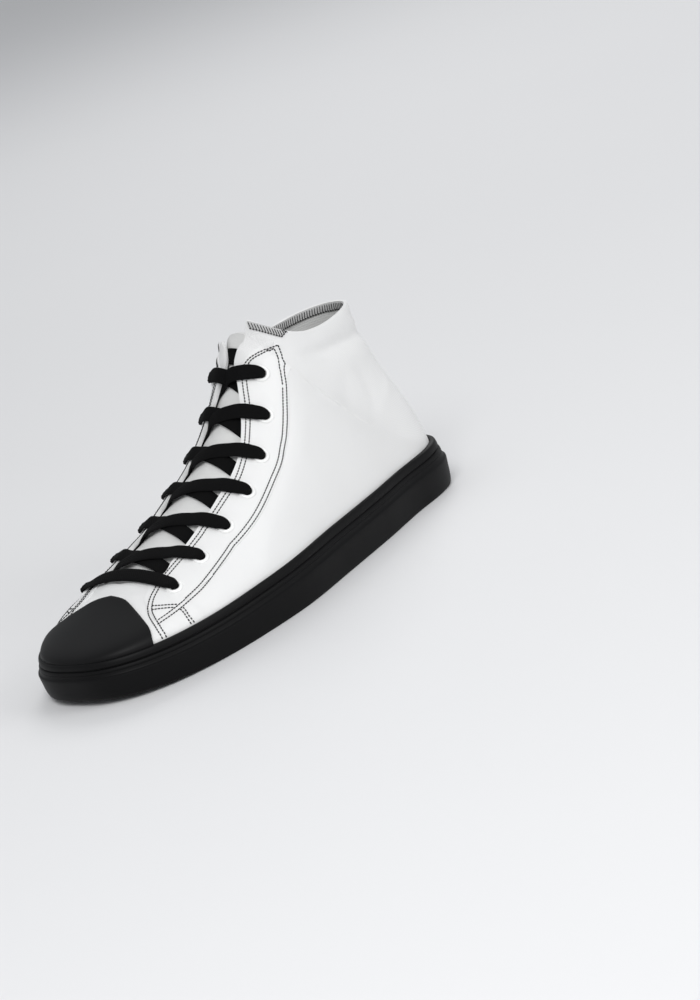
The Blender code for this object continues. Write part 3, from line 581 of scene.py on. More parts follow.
@dataclass
class Shading:
    """Shader node groups that several finishes share."""

    groups: dict[str, bpy.types.NodeTree] = field(default_factory=dict)

    def start(
        self, name: str, inputs: tuple[tuple[str, str, float], ...], outputs: tuple[tuple[str, str], ...]
    ) -> tuple[bpy.types.NodeTree, bpy.types.Node, bpy.types.Node]:
        """Start a node group with named sockets.

        Args:
            name: Name of the group.
            inputs: Name, socket type and value of each input.
            outputs: Name and socket type of each output.

        Returns:
            The tree, its input node and its output node.
        """
        tree = bpy.data.node_groups.new(name, "ShaderNodeTree")
        for label, kind, value in inputs:
            socket = tree.interface.new_socket(name=label, in_out="INPUT", socket_type=kind)
            if kind == "NodeSocketFloat":
                socket.default_value = value
        for label, kind in outputs:
            tree.interface.new_socket(name=label, in_out="OUTPUT", socket_type=kind)
        self.groups[name] = tree
        return tree, tree.nodes.new("NodeGroupInput"), tree.nodes.new("NodeGroupOutput")

    @staticmethod
    def maths(tree: bpy.types.NodeTree, operation: str, *values: object) -> bpy.types.NodeSocket:
        """Add a maths node whose inputs are sockets or numbers."""
        node = tree.nodes.new("ShaderNodeMath")
        node.operation = operation
        for index, value in enumerate(values):
            if isinstance(value, bpy.types.NodeSocket):
                tree.links.new(value, node.inputs[index])
            else:
                node.inputs[index].default_value = float(value)
        return node.outputs[0]

    def weave(self) -> bpy.types.NodeTree:
        """Plain weave on the UV map: threads over and under each other."""
        if "plain_weave" in self.groups:
            return self.groups["plain_weave"]
        tree, take, give = self.start(
            "plain_weave",
            (
                ("Vector", "NodeSocketVector", 0.0),
                ("Threads", "NodeSocketFloat", 1800.0),
                ("Slub", "NodeSocketFloat", 0.3),
            ),
            (("Height", "NodeSocketFloat"), ("Shade", "NodeSocketFloat")),
        )
        maths = self.maths
        split = tree.nodes.new("ShaderNodeSeparateXYZ")
        tree.links.new(take.outputs["Vector"], split.inputs[0])
        warp = maths(tree, "MULTIPLY", split.outputs[0], take.outputs["Threads"])
        weft = maths(tree, "MULTIPLY", split.outputs[1], take.outputs["Threads"])
        parity = maths(tree, "ADD", maths(tree, "FLOOR", warp), maths(tree, "FLOOR", weft))
        over = maths(tree, "ABSOLUTE", maths(tree, "MODULO", parity, 2.0))
        warp_bulge = maths(tree, "SINE", maths(tree, "MULTIPLY", maths(tree, "FRACT", warp), math.pi))
        weft_bulge = maths(tree, "SINE", maths(tree, "MULTIPLY", maths(tree, "FRACT", weft), math.pi))
        first = maths(tree, "MULTIPLY", warp_bulge, over)
        second = maths(tree, "MULTIPLY", weft_bulge, maths(tree, "SUBTRACT", 1.0, over))
        height = maths(tree, "ADD", first, second)
        noise = tree.nodes.new("ShaderNodeTexNoise")
        noise.inputs["Scale"].default_value = 420.0
        noise.inputs["Detail"].default_value = 2.0
        tree.links.new(take.outputs["Vector"], noise.inputs["Vector"])
        slub = maths(tree, "MULTIPLY", noise.outputs[0], take.outputs["Slub"])
        tree.links.new(maths(tree, "ADD", height, slub), give.inputs["Height"])
        tree.links.new(maths(tree, "MULTIPLY", height, 0.5), give.inputs["Shade"])
        return tree

    def grain(self) -> bpy.types.NodeTree:
        """Fine pebbled grain of moulded rubber with cloudy patches of wear."""
        if "rubber_grain" in self.groups:
            return self.groups["rubber_grain"]
        tree, take, give = self.start(
            "rubber_grain",
            (
                ("Vector", "NodeSocketVector", 0.0),
                ("Grain", "NodeSocketFloat", 2600.0),
                ("Patch", "NodeSocketFloat", 26.0),
            ),
            (("Height", "NodeSocketFloat"), ("Cloud", "NodeSocketFloat")),
        )
        fine = tree.nodes.new("ShaderNodeTexNoise")
        fine.inputs["Detail"].default_value = 3.0
        tree.links.new(take.outputs["Vector"], fine.inputs["Vector"])
        tree.links.new(take.outputs["Grain"], fine.inputs["Scale"])
        cloud = tree.nodes.new("ShaderNodeTexNoise")
        cloud.inputs["Detail"].default_value = 4.0
        tree.links.new(take.outputs["Vector"], cloud.inputs["Vector"])
        tree.links.new(take.outputs["Patch"], cloud.inputs["Scale"])
        tree.links.new(fine.outputs[0], give.inputs["Height"])
        tree.links.new(cloud.outputs[0], give.inputs["Cloud"])
        return tree


SHADING = Shading()


def start_material(name: str) -> tuple[bpy.types.Material, bpy.types.Node]:
    """New material and its Principled shader."""
    material = bpy.data.materials.new(name)
    material.use_nodes = True
    return material, material.node_tree.nodes["Principled BSDF"]


def place_group(material: bpy.types.Material, group: bpy.types.NodeTree, source: str) -> bpy.types.Node:
    """Add a node group to a material, fed by a texture coordinate output."""
    tree = material.node_tree
    node = tree.nodes.new("ShaderNodeGroup")
    node.node_tree = group
    coordinates = tree.nodes.new("ShaderNodeTexCoord")
    tree.links.new(coordinates.outputs[source], node.inputs["Vector"])
    return node


def add_bump(
    material: bpy.types.Material, height: bpy.types.NodeSocket, distance: float, strength: float
) -> None:
    """Feed a height through a bump node into the shader's normal."""
    tree = material.node_tree
    bump = tree.nodes.new("ShaderNodeBump")
    bump.inputs["Strength"].default_value = strength
    bump.inputs["Distance"].default_value = distance
    tree.links.new(height, bump.inputs["Height"])
    tree.links.new(bump.outputs["Normal"], tree.nodes["Principled BSDF"].inputs["Normal"])


def blend_colours(
    material: bpy.types.Material,
    mask: bpy.types.NodeSocket,
    low: tuple[float, ...],
    high: tuple[float, ...],
) -> bpy.types.NodeSocket:
    """Colour that runs from one to another with a mask."""
    tree = material.node_tree
    ramp = tree.nodes.new("ShaderNodeValToRGB")
    ramp.color_ramp.elements[0].color = (*low, 1.0)
    ramp.color_ramp.elements[1].color = (*high, 1.0)
    tree.links.new(mask, ramp.inputs["Fac"])
    return ramp.outputs["Color"]


def patterned(
    name: str,
    pattern: tuple[bpy.types.NodeTree, str, str],
    colours: tuple[tuple[float, float, float], tuple[float, float, float]],
    pattern_values: dict[str, float],
    shader_values: dict[str, float],
) -> tuple[bpy.types.Material, bpy.types.Node, bpy.types.Node]:
    """Material whose colour runs between two with one output of a node group.

    Args:
        name: Name of the material.
        pattern: Node group, texture coordinate that feeds it and output that the colour follows.
        colours: Colours at the low and high end of that output.
        pattern_values: Values for the group's inputs.
        shader_values: Values for the shader's inputs.

    Returns:
        The material, its shader and the group's node.
    """
    material, shader = start_material(name)
    group, source, mask = pattern
    node = place_group(material, group, source)
    material.node_tree.links.new(
        blend_colours(material, node.outputs[mask], *colours), shader.inputs["Base Color"]
    )
    for target, values in ((node, pattern_values), (shader, shader_values)):
        for label, value in values.items():
            target.inputs[label].default_value = value
    return material, shader, node


@dataclass(frozen=True)
class Canvas:
    """Woven cotton, as cloth or as the braid of a lace."""

    name: str
    hollow: tuple[float, float, float]
    raised: tuple[float, float, float]
    threads: float = 1700.0
    depth: float = 0.00012
    strength: float = 0.55
    roughness: float = 0.9
    slub: float = 0.3
    sheen: float = 0.05
    specular: float = 0.5

    def make(self) -> bpy.types.Material:
        """Build the material."""
        material, _, weave = patterned(
            self.name,
            (SHADING.weave(), "UV", "Shade"),
            (self.hollow, self.raised),
            {"Threads": self.threads, "Slub": self.slub},
            {
                "Roughness": self.roughness,
                "Sheen Weight": self.sheen,
                "Specular IOR Level": self.specular,
            },
        )
        add_bump(material, weave.outputs["Height"], self.depth, self.strength)
        return material


@dataclass(frozen=True)
class Rubber:
    """Moulded rubber with a fine grain."""

    name: str
    colour: tuple[float, float, float]
    worn: tuple[float, float, float]
    roughness: float
    grain: float = 2600.0
    depth: float = 0.00005
    strength: float = 0.35
    specular: float = 0.12

    def make(self) -> bpy.types.Material:
        """Build the material."""
        material, shader, grain = patterned(
            self.name,
            (SHADING.grain(), "Object", "Cloud"),
            (self.colour, self.worn),
            {"Grain": self.grain},
            {"Specular IOR Level": self.specular},
        )
        tree = material.node_tree
        spread = tree.nodes.new("ShaderNodeMapRange")
        spread.inputs["To Min"].default_value = self.roughness - 0.06
        spread.inputs["To Max"].default_value = self.roughness + 0.08
        tree.links.new(grain.outputs["Cloud"], spread.inputs["Value"])
        tree.links.new(spread.outputs["Result"], shader.inputs["Roughness"])
        add_bump(material, grain.outputs["Height"], self.depth, self.strength)
        return material


@dataclass(frozen=True)
class KnurledRubber:
    """Rubber of the tread, with a fine diagonal knurl."""

    name: str
    colour: tuple[float, float, float]
    lines: float = 620.0
    roughness: float = 0.62
    specular: float = 0.12

    def make(self) -> bpy.types.Material:
        """Build the material."""
        material, shader = start_material(self.name)
        tree = material.node_tree
        coordinates = tree.nodes.new("ShaderNodeTexCoord")
        waves = []
        for angle in (math.radians(38), math.radians(-38)):
            turn = tree.nodes.new("ShaderNodeMapping")
            turn.inputs["Rotation"].default_value = (0.0, 0.0, angle)
            tree.links.new(coordinates.outputs["Object"], turn.inputs["Vector"])
            wave = tree.nodes.new("ShaderNodeTexWave")
            wave.inputs["Scale"].default_value = self.lines / math.tau
            tree.links.new(turn.outputs[0], wave.inputs["Vector"])
            waves.append(wave.outputs["Fac"])
        height = Shading.maths(tree, "MULTIPLY", waves[0], waves[1])
        shader.inputs["Base Color"].default_value = (*self.colour, 1.0)
        shader.inputs["Roughness"].default_value = self.roughness
        shader.inputs["Specular IOR Level"].default_value = self.specular
        add_bump(material, height, 0.0004, 0.8)
        return material


@dataclass(frozen=True)
class Yarn:
    """Twisted thread."""

    name: str
    colour: tuple[float, float, float]
    lit: tuple[float, float, float]
    grain: float = 3500.0
    roughness: float = 0.75

    def make(self) -> bpy.types.Material:
        """Build the material."""
        material, _, grain = patterned(
            self.name,
            (SHADING.grain(), "Object", "Height"),
            (self.colour, self.lit),
            {"Grain": self.grain},
            {"Roughness": self.roughness},
        )
        add_bump(material, grain.outputs["Height"], 0.0001, 0.5)
        return material


@dataclass(frozen=True)
class Enamel:
    """White lacquer on the metal eyelets."""

    name: str
    colour: tuple[float, float, float]
    shade: tuple[float, float, float]
    patch: float = 300.0
    coat: float = 0.4
    roughness: float = 0.28

    def make(self) -> bpy.types.Material:
        """Build the material."""
        material, _, grain = patterned(
            self.name,
            (SHADING.grain(), "Object", "Cloud"),
            (self.shade, self.colour),
            {"Patch": self.patch},
            {"Roughness": self.roughness, "Coat Weight": self.coat},
        )
        add_bump(material, grain.outputs["Height"], 0.00003, 0.2)
        return material


@dataclass
class CupSole:
    """Black rubber cup sole: stepped side, well for the upper, grooved and banded tread."""

    last: Last
    half_points: int = 300
    tread_columns: int = 64
    groove_width: float = 0.0016
    groove_depth: float = 0.0014
    rim_width: float = 0.0095
    band_pitch: float = 0.013
    band_count: int = 5
    band_depth: float = 0.0007
    band_heel_gap: float = 0.008
    band_toe_gap: float = 0.012
    band_side_gap: float = 0.004
    band_fade: float = 0.004
    band_side_fade: float = 0.003
    corner: float = 0.014
    profile: Table = Table(
        ("level", "setback"),
        (
            (0.000, 0.45), (0.012, 0.36), (0.035, 0.30), (0.070, 0.25), (0.140, 0.18),
            (0.250, 0.12), (0.360, 0.08), (0.470, 0.03), (0.540, 0.005), (0.565, 0.00),
            (0.590, 0.02), (0.606, 0.09), (0.622, 0.18), (0.650, 0.23), (0.690, 0.26),
            (0.704, 0.27), (0.712, 0.31), (0.722, 0.31), (0.730, 0.27), (0.760, 0.29),
            (0.790, 0.34), (0.802, 0.40), (0.812, 0.54), (0.826, 0.55), (0.836, 0.45),
            (0.850, 0.42), (0.900, 0.44), (0.955, 0.50), (0.980, 0.56), (0.994, 0.66),
            (1.000, 0.80),
        ),
    )

    def ring(self, inset: float, level: np.ndarray | None, share: float = 0.0) -> np.ndarray:
        """Ring round the outline from the heel along the outer side and back, closed on its first point."""
        last = self.last
        forth = last.stations(inset, self.half_points + 1)
        x = np.concatenate([forth, forth[-2::-1]])
        side = np.concatenate([np.ones(len(forth)), -np.ones(len(forth) - 1)])
        y = last.centre(x) + side * last.half(x, inset)
        z = last.spring(x) + share * last.side(x) if level is None else last.spring(x) + level
        return np.stack([x, y, np.broadcast_to(z, x.shape)], axis=-1)

    def panels(self) -> tuple[tuple[float, float], ...]:
        """First and last place along X of the forefoot and heel panels."""
        last = self.last
        toe = last.sole_length - last.heel_seat - self.rim_width
        return (0.34 * last.sole_length, toe), (self.rim_width - last.heel_seat, 0.20 * last.sole_length)

    def panel_half(self, x: np.ndarray, start: float, end: float) -> np.ndarray:
        """Half-width of a panel of the tread, with rounded corners."""
        last = self.last
        ends = round_end(x - start, self.corner, 2.4) * round_end(end - x, self.corner, 2.4)
        return np.where((x > start) & (x < end), last.half(x, self.rim_width) * ends, 0.0)

    def tread_height(self, x: np.ndarray, y: np.ndarray) -> np.ndarray:
        """Depth of grooves and bands at places of the underside."""
        last = self.last
        height = np.zeros_like(x)
        places = np.stack([x, y], axis=-1).reshape(-1, 2)
        for number, (start, end) in enumerate(self.panels()):
            along = start + (1 - np.cos(np.linspace(0, math.pi, 260))) / 2 * (end - start)
            half = self.panel_half(along, start, end)
            ring = np.concatenate([
                np.stack([along, last.centre(along) + half], axis=-1),
                np.stack([along, last.centre(along) - half], axis=-1),
            ])
            nearest = np.full(len(places), np.inf)
            for piece in np.array_split(ring, 8):
                squares = ((places[:, None, :] - piece[None, :, :]) ** 2).sum(axis=2)
                nearest = np.minimum(nearest, squares.min(axis=1))
            distance = np.sqrt(nearest).reshape(x.shape)
            height += self.groove_depth * smooth_step(1.6 - distance / (self.groove_width * 0.5))
            if number == 0:
                offset = y - last.centre(x)
                reach = self.band_count * self.band_pitch / 2
                wave = 0.5 + 0.5 * np.cos(2 * math.pi * offset / self.band_pitch)
                half = self.panel_half(x, start + self.band_heel_gap, end - self.band_toe_gap)
                inside = half - self.band_side_gap - np.abs(offset)
                keep = smooth_step(inside / self.band_fade)
                keep = keep * smooth_step((reach - np.abs(offset)) / self.band_side_fade)
                height += self.band_depth * wave * keep
        return height

    def build(self) -> None:
        """Build side, well and tread as one closed piece."""
        last = self.last
        rings = [self.ring(setback * last.side_wall, None, level) for level, setback in self.profile.rows]
        rings.extend(self.ring(last.side_wall, None, level) for level in (0.992, 0.85))
        rings.append(self.ring(last.side_wall, np.full(1, last.sole_floor)))
        wall = lay_grid("cup_sole", np.array(rings))
        inset = self.profile.rows[0][1] * last.side_wall
        x = last.stations(inset, self.half_points + 1)
        share = np.linspace(-1, 1, self.tread_columns + 1)
        grid_x = np.broadcast_to(x[:, None], (len(x), len(share)))
        grid_y = last.centre(x)[:, None] + share * last.half(x, inset)[:, None]
        edge = smooth_step((1 - np.abs(share)) * 12)
        lift = self.tread_height(grid_x, grid_y) * edge
        tread = lay_grid("tread", np.stack([grid_x, grid_y, last.spring(x)[:, None] + lift], axis=-1))
        floor_x = last.stations(last.side_wall, self.half_points + 1)
        floor_half = last.half(floor_x, last.side_wall)[:, None]
        floor_y = last.centre(floor_x)[:, None] + np.linspace(-1, 1, 9) * floor_half
        floor_z = np.broadcast_to((last.spring(floor_x) + last.sole_floor)[:, None], floor_y.shape)
        floor_grid = np.stack([np.broadcast_to(floor_x[:, None], floor_y.shape), floor_y, floor_z], axis=-1)
        floor = lay_grid("sole_floor", floor_grid)
        side_rubber = Rubber("sole_rubber", (0.0020, 0.0020, 0.0022), (0.0040, 0.0040, 0.0043), 0.50).make()
        tread_rubber = KnurledRubber("tread_rubber", (0.006, 0.006, 0.0065)).make()
        for piece in (wall, tread, floor):
            piece.data.materials.append(side_rubber)
            piece.data.materials.append(tread_rubber)
        (start, end), _ = self.panels()
        for face in tread.data.polygons:
            place = face.center
            half = float(self.panel_half(np.array(place.x), start, end)) - self.groove_width
            if abs(place.y - float(last.centre(place.x))) < half:
                face.material_index = 1
        join(wall, (tread, floor))
        merge_doubles(wall, 4e-6)
        recalculate_outward(wall)
        finish_piece(wall, ("outsole",), 28)


@dataclass
class Insole:
    """Foam insole with a cloth cover, dished under the heel."""

    last: Last
    thickness: float = 0.003
    wall: float = 0.0018
    clearance: float = 0.0003
    dish: float = 0.0006
    edge_round: float = 0.0006

    def build(self) -> None:
        """Build the insole."""
        last = self.last
        inset = last.inset + self.wall + last.well_clearance
        x = last.stations(inset, 90)
        share = np.linspace(-1, 1, 25)
        y = last.centre(x)[:, None] + share * last.half(x, inset)[:, None]
        level = last.sole_floor + self.clearance + self.thickness - self.dish
        z = last.spring(x)[:, None] + level + self.dish * (share**4)[None, :]
        points = np.stack([np.broadcast_to(x[:, None], y.shape), y, np.broadcast_to(z, y.shape)], axis=-1)
        insole = lay_grid("insole_cover", points)
        merge_doubles(insole)
        face_away(insole, (0.1, 0.0, -0.5))
        cloth = Canvas("insole_cloth", (0.50, 0.50, 0.48), (0.68, 0.68, 0.66), 1300.0)
        insole.data.materials.append(cloth.make())
        add_wall(insole, self.thickness - self.dish, False)
        soften_edges(insole, self.edge_round)
        finish_piece(insole, ("insole",))


@dataclass
class Eyelets:
    """White lacquered eyelets along both sides of the throat."""

    last: Last
    a_side: int = 7
    bore: float = 0.0048
    flange: float = 0.0092
    crown: float = 0.0010
    depth: float = 0.0027
    steps: int = 36
    line: Table = Table(
        ("section", "turn"),
        (
            (2.90, 0.490), (3.98, 0.485), (4.72, 0.505), (5.44, 0.550), (6.29, 0.600),
            (7.07, 0.678), (8.10, 0.784),
        ),
    )

    def places(self, side: Side) -> list[tuple[float, float]]:
        """Section number and across value of each eyelet of a side, from the toe end up."""
        sections = np.linspace(self.line.rows[0][0], self.line.rows[-1][0], 400)
        turns = self.line.read("section", "turn", sections)
        path = self.last.point(sections, 1 - turns)
        length = run_length(path)
        chosen = np.interp(np.linspace(0, length[-1], self.a_side), length, sections)
        across = side.value * (1 - self.line.read("section", "turn", chosen))
        return list(zip(chosen.tolist(), across.tolist()))

    def axes(self, place: tuple[float, float], height: float) -> Matrix:
        """Placing matrix with Z along the outward normal, at a height above the upper."""
        normal = Vector(self.last.normal(*place))
        origin = Vector(self.last.surface(*place, height))
        return Matrix.Translation(origin) @ normal.to_track_quat("Z", "Y").to_matrix().to_4x4()

    def build(self, height: float) -> None:
        """Build all eyelets on the panels, whose face is at a height above the upper."""
        enamel = Enamel("eyelet_enamel", (0.86, 0.86, 0.85), (0.78, 0.78, 0.77)).make()
        bore, flange, crown = self.bore / 2, self.flange / 2, self.crown
        middle = (bore + flange) / 2
        section = (
            (bore, -self.depth),
            (bore, -0.0006),
            (bore + 0.00012, 0.45 * crown),
            (bore + 0.0004, 0.80 * crown),
            (middle - 0.0004, 0.98 * crown),
            (middle + 0.0002, crown),
            (flange - 0.0007, 0.86 * crown),
            (flange - 0.00025, 0.55 * crown),
            (flange, 0.16 * crown),
            (flange - 0.0001, -0.0001),
            (bore + 0.0005, -0.0001),
            (bore + 0.0005, -self.depth),
            (bore + 0.0013, -self.depth - 0.0001),
            (bore + 0.0014, -self.depth - 0.0005),
            (bore + 0.0006, -self.depth - 0.0007),
            (bore, -self.depth),
        )
        angles = np.linspace(0, 2 * math.pi, self.steps + 1)
        points = np.array([
            [(radius * math.cos(angle), radius * math.sin(angle), level) for angle in angles]
            for radius, level in section
        ])
        for side in Side:
            for number, place in enumerate(self.places(side), start=1):
                matrix = np.array(self.axes(place, height))
                placed = points @ matrix[:3, :3].T + matrix[:3, 3]
                name = f"{side.name.lower()}_{number}"
                ring = lay_grid(f"eyelet_ring_{name}", placed)
                ring.data.materials.append(enamel)
                merge_doubles(ring)
                recalculate_outward(ring)
                finish_piece(ring, (f"eyelet_{name}",), 60)


@dataclass
class Upper:
    """White canvas vamp and quarters with a cotton lining, open at throat, collar and underneath."""

    last: Last
    eyelets: Eyelets
    wall: float = 0.0018
    front_rows: int = 150
    rear_rows: int = 60
    columns: int = 64
    hole: float = 0.0031
    foot_clearance: float = 0.0003
    hidden_section: float = 0.9
    toe_retreat: float = 0.0022
    row_gap: float = 0.018
    bunch: float = 0.36
    hole_depth: float = 0.006
    edge_round: float = 0.0006

    def rows(self) -> np.ndarray:
        """Rows of the mesh, closer at toe, throat end and heel."""
        last = self.last
        front = last.corner * (1 - np.cos(np.linspace(0, math.pi, self.front_rows))) / 2
        tip = np.linspace(last.throat_start, last.throat_start + 0.45, 22)
        rear = np.linspace(last.corner, last.top, self.rear_rows)
        rear = np.concatenate([[last.corner + self.bunch / 2], rear[rear > last.corner + self.bunch]])
        front = front[(front < tip[0] - 0.01) | (front > tip[-1] + 0.01)]
        front = front[(front < last.corner - self.row_gap) | (front == last.corner)]
        return np.concatenate([np.sort(np.concatenate([front, tip])), rear])

    def open_holes(self, piece: bpy.types.Object, side: Side) -> None:
        """Open a round hole for each eyelet of a side."""
        axes = [self.eyelets.axes(place, 0.0) for place in self.eyelets.places(side)]
        shape = bmesh.new()
        shape.from_mesh(piece.data)
        for axis in axes:
            back = axis.inverted()
            inside = [f for f in shape.faces if self.on_hole(back @ f.calc_center_median(), self.hole)]
            bmesh.ops.delete(shape, geom=inside, context="FACES")
            for vertex in shape.verts:
                local = back @ vertex.co
                if vertex.is_boundary and self.on_hole(local, self.hole * 1.6):
                    radius = max(math.hypot(local.x, local.y), 1e-6)
                    flat = Vector((local.x * self.hole / radius, local.y * self.hole / radius, local.z))
                    vertex.co = axis @ flat
        shape.to_mesh(piece.data)
        shape.free()

    def on_hole(self, local: Vector, radius: float) -> bool:
        """Whether a place in an eyelet's own frame lies within a radius of its axis."""
        return abs(local.z) < self.hole_depth and math.hypot(local.x, local.y) < radius

    def build(self) -> None:
        """Build both halves, join them and give them their wall."""
        last = self.last
        rows = self.rows()
        even = np.linspace(0, 1, self.columns + 1)
        spread = (even**1.4 + (1 - np.cos(math.pi * even)) / 2) / 2
        feather_rows = rows <= last.corner + 1e-9
        halves = []
        for side in Side:
            row_grid, spread_grid = np.meshgrid(rows, spread, indexing="ij")
            sections = last.flap(row_grid, spread_grid, side)
            turns = spread_grid * last.throat_turn(sections)
            points = last.surface(sections, side.value * (1 - turns), 0.0)
            edge = last.point(rows, np.full_like(rows, side.value))
            points[:, 0] = edge
            hidden = smooth_step((self.hidden_section - rows) / self.hidden_section)
            back = hidden[:, None] * np.array([-self.toe_retreat, 0, -self.toe_retreat * 0.6])
            points += back[:, None, :]
            edge = points[:, 0]
            half = lay_grid(f"quarter_{side.name.lower()}", points)
            self.open_holes(half, side)
            line = edge[feather_rows]
            foot = line.copy()
            foot[:, 2] = last.spring(line[:, 0]) + last.sole_floor + self.foot_clearance
            drop = np.stack([foot, line * 0.5 + foot * 0.5, line])
            skirt = lay_grid(f"lasting_{side.name.lower()}", drop)
            halves.extend([half, skirt])
        upper = halves[0]
        join(upper, halves[1:])
        upper.name = "canvas_upper"
        upper.data.name = "canvas_upper"
        merge_doubles(upper, 6e-6)
        recalculate_outward(upper)
        face_away(upper, (0.30 * last.sole_length, 0.0, 0.35 * last.collar_height))
        upper.data.materials.clear()
        for cloth in (
            Canvas("white_canvas", (0.70, 0.70, 0.695), (0.84, 0.84, 0.835)),
            Canvas("lining", (0.50, 0.50, 0.49), (0.74, 0.74, 0.73), 1100.0, 0.0002),
        ):
            upper.data.materials.append(cloth.make())
        add_wall(upper, self.wall, False, 1)
        soften_edges(upper, self.edge_round, 55)
        finish_piece(upper, ("upper",), 45)


@dataclass
class ToeCap:
    """Black rubber cap over the toe."""

    last: Last
    clearance: float = 0.0005
    thickness: float = 0.0012
    skirt: float = 0.0012
    edge_round: float = 0.0005
    edge: Table = Table(
        ("turn", "section"),
        (
            (0.00, 1.26), (0.15, 1.30), (0.35, 1.46), (0.55, 1.67), (0.70, 1.90), (0.85, 2.17),
            (1.00, 2.29),
        ),
    )

    def build(self) -> None:
        """Build the cap down to the rim of the sole."""
        last = self.last
        quarter = 1 - np.cos(np.linspace(0, math.pi / 2, 40))
        across = np.concatenate([-(1 - quarter), (1 - quarter)[::-1][1:]])
        edge = self.edge.read("turn", "section", 1 - np.abs(across))
        shares = np.linspace(0, 1, 56) ** 1.8
        points = []
        for share in shares:
            at = np.maximum(share * edge, 0.0)
            if share == 0:
                line = last.point(at, across) + np.array([self.clearance, 0, 0])
            else:
                line = last.surface(at, across, self.clearance)
            drop = np.array([0, 0, self.skirt])
            points.append(np.concatenate([line[:1] - drop, line, line[-1:] - drop]))
        cap = lay_grid("rubber_toe_cap", np.array(points))
        merge_doubles(cap, 6e-6)
        face_away(cap, (0.6 * last.sole_length, 0.0, 0.2 * last.collar_height))
        rubber = Rubber(
            "toe_rubber", (0.0035, 0.0035, 0.0037), (0.0070, 0.0070, 0.0074), 0.48, 1900.0, 0.00006
        )
        cap.data.materials.append(rubber.make())
        add_wall(cap, self.thickness, True)
        soften_edges(cap, self.edge_round, 50)
        finish_piece(cap, ("toe_cap",), 45)


@dataclass
class Tongue:
    """Canvas tongue behind the throat, tucked under quarters and vamp."""

    last: Last
    wall: float = 0.0018
    clearance: float = 0.0006
    slack: float = 0.0014
    tuck: float = 0.010
    thickness: float = 0.0025
    edge_round: float = 0.0008
    start: float = 2.45
    top: float = 10.6
    lie: Table = Table(
        ("section", "slack"),
        (
            (2.45, 0.8), (3.30, 0.8), (3.80, 0.4), (6.50, 0.4), (8.00, 1.0), (10.6, 1.0),
        ),
    )

    def build(self) -> None:
        """Build the tongue."""
        last = self.last
        rows = []
        for section in np.linspace(self.start, self.top, 110):
            edge = 1 - float(last.throat_turn(max(section, last.throat_start + 0.5)))
            gap = float(np.linalg.norm(last.point(section, edge) - last.point(section, edge + 0.02))) / 0.02
            reach = edge + self.tuck / max(gap, 1e-6)
            reach *= 0.72 + 0.28 * float(round_end(self.top - section + 0.02, 0.9, 2.2))
            across = np.linspace(-reach, reach, 35)
            slack = self.slack * float(self.lie.read("section", "slack", section))
            depth = self.wall + self.clearance + slack
            at = np.full_like(across, section)
            rows.append(last.point(at, across) - last.normal(at, across) * depth)
        tongue = lay_grid("canvas_tongue", np.array(rows))
        face_away(tongue, (0.25 * last.sole_length, 0.0, 0.3 * last.collar_height))
        # Painted shade: the tongue is the same white canvas as the upper, coloured greyer here to stand for
        # the shade it lies in down in the throat.
        cloth = Canvas("tongue_canvas", (0.60, 0.60, 0.59), (0.78, 0.78, 0.77))
        tongue.data.materials.append(cloth.make())
        add_wall(tongue, self.thickness, False)
        soften_edges(tongue, self.edge_round, 50)
        finish_piece(tongue, ("tongue",), 45)


@dataclass
class Eyestay:
    """Canvas panel that strengthens one side of the throat."""

    last: Last
    upper: Upper
    thickness: float = 0.0005
    overlap: float = 0.0001
    edge_round: float = 0.00025
    shape: Table = Table(
        ("section", "rear_turn", "front_turn"),
        (
            (1.78, 0.405, 0.430), (2.00, 0.385, 0.570), (2.25, 0.368, 0.675), (2.60, 0.345, 0.705),
            (3.20, 0.315, 0.720), (4.20, 0.320, 0.720), (5.05, 0.378, 0.760), (5.90, 0.434, 0.800),
            (6.80, 0.510, 0.860), (7.35, 0.572, 0.905), (7.90, 0.625, 0.925), (8.30, 0.660, 0.905),
            (8.80, 0.688, 0.885), (10.0, 0.688, 0.830), (11.5, 0.690, 0.715),
        ),
    )

    def turns(self, row: np.ndarray | float) -> tuple[np.ndarray, np.ndarray]:
        """Rear and front turn of the panel at a row."""
        last = self.last
        rear = self.shape.read("section", "rear_turn", row)
        front = self.shape.read("section", "front_turn", row)
        open_front = np.minimum(front, last.throat_turn(row))
        return rear, np.where(np.asarray(row) > last.throat_start, open_front, front)

    def height(self, rows: np.ndarray, turns: np.ndarray) -> np.ndarray:
        """Height of the cloth above the upper at places in rows and turns."""
        rear, front = self.turns(rows)
        first, final = self.shape.rows[0][0], self.shape.rows[-1][0]
        on_panel = (rows > first) & (rows < final) & (turns > rear) & (turns < front + 0.01)
        return np.where(on_panel, self.thickness, 0.0)

    def build(self) -> None:
        """Build the panel of both sides."""
        last = self.last
        cloth = Canvas("panel_canvas", (0.71, 0.71, 0.705), (0.85, 0.85, 0.845)).make()
        rows = np.linspace(self.shape.rows[0][0], self.shape.rows[-1][0], 230)
        for side in Side:
            rear, front = self.turns(rows)
            turns = rear[:, None] + (front - rear)[:, None] * np.linspace(0, 1, 22)
            sections = last.flap(rows[:, None], turns, side)
            points = last.surface(sections, side.value * (1 - turns), -self.overlap)
            panel = lay_grid(f"canvas_eyestay_{side.name.lower()}", points)
            self.upper.open_holes(panel, side)
            face_away(panel, (0.30 * last.sole_length, 0.0, 0.3 * last.collar_height))
            panel.data.materials.append(cloth)
            add_wall(panel, self.thickness + self.overlap, True)
            soften_edges(panel, self.edge_round, 50)
            finish_piece(panel, (f"eyestay_{side.name.lower()}",), 45)


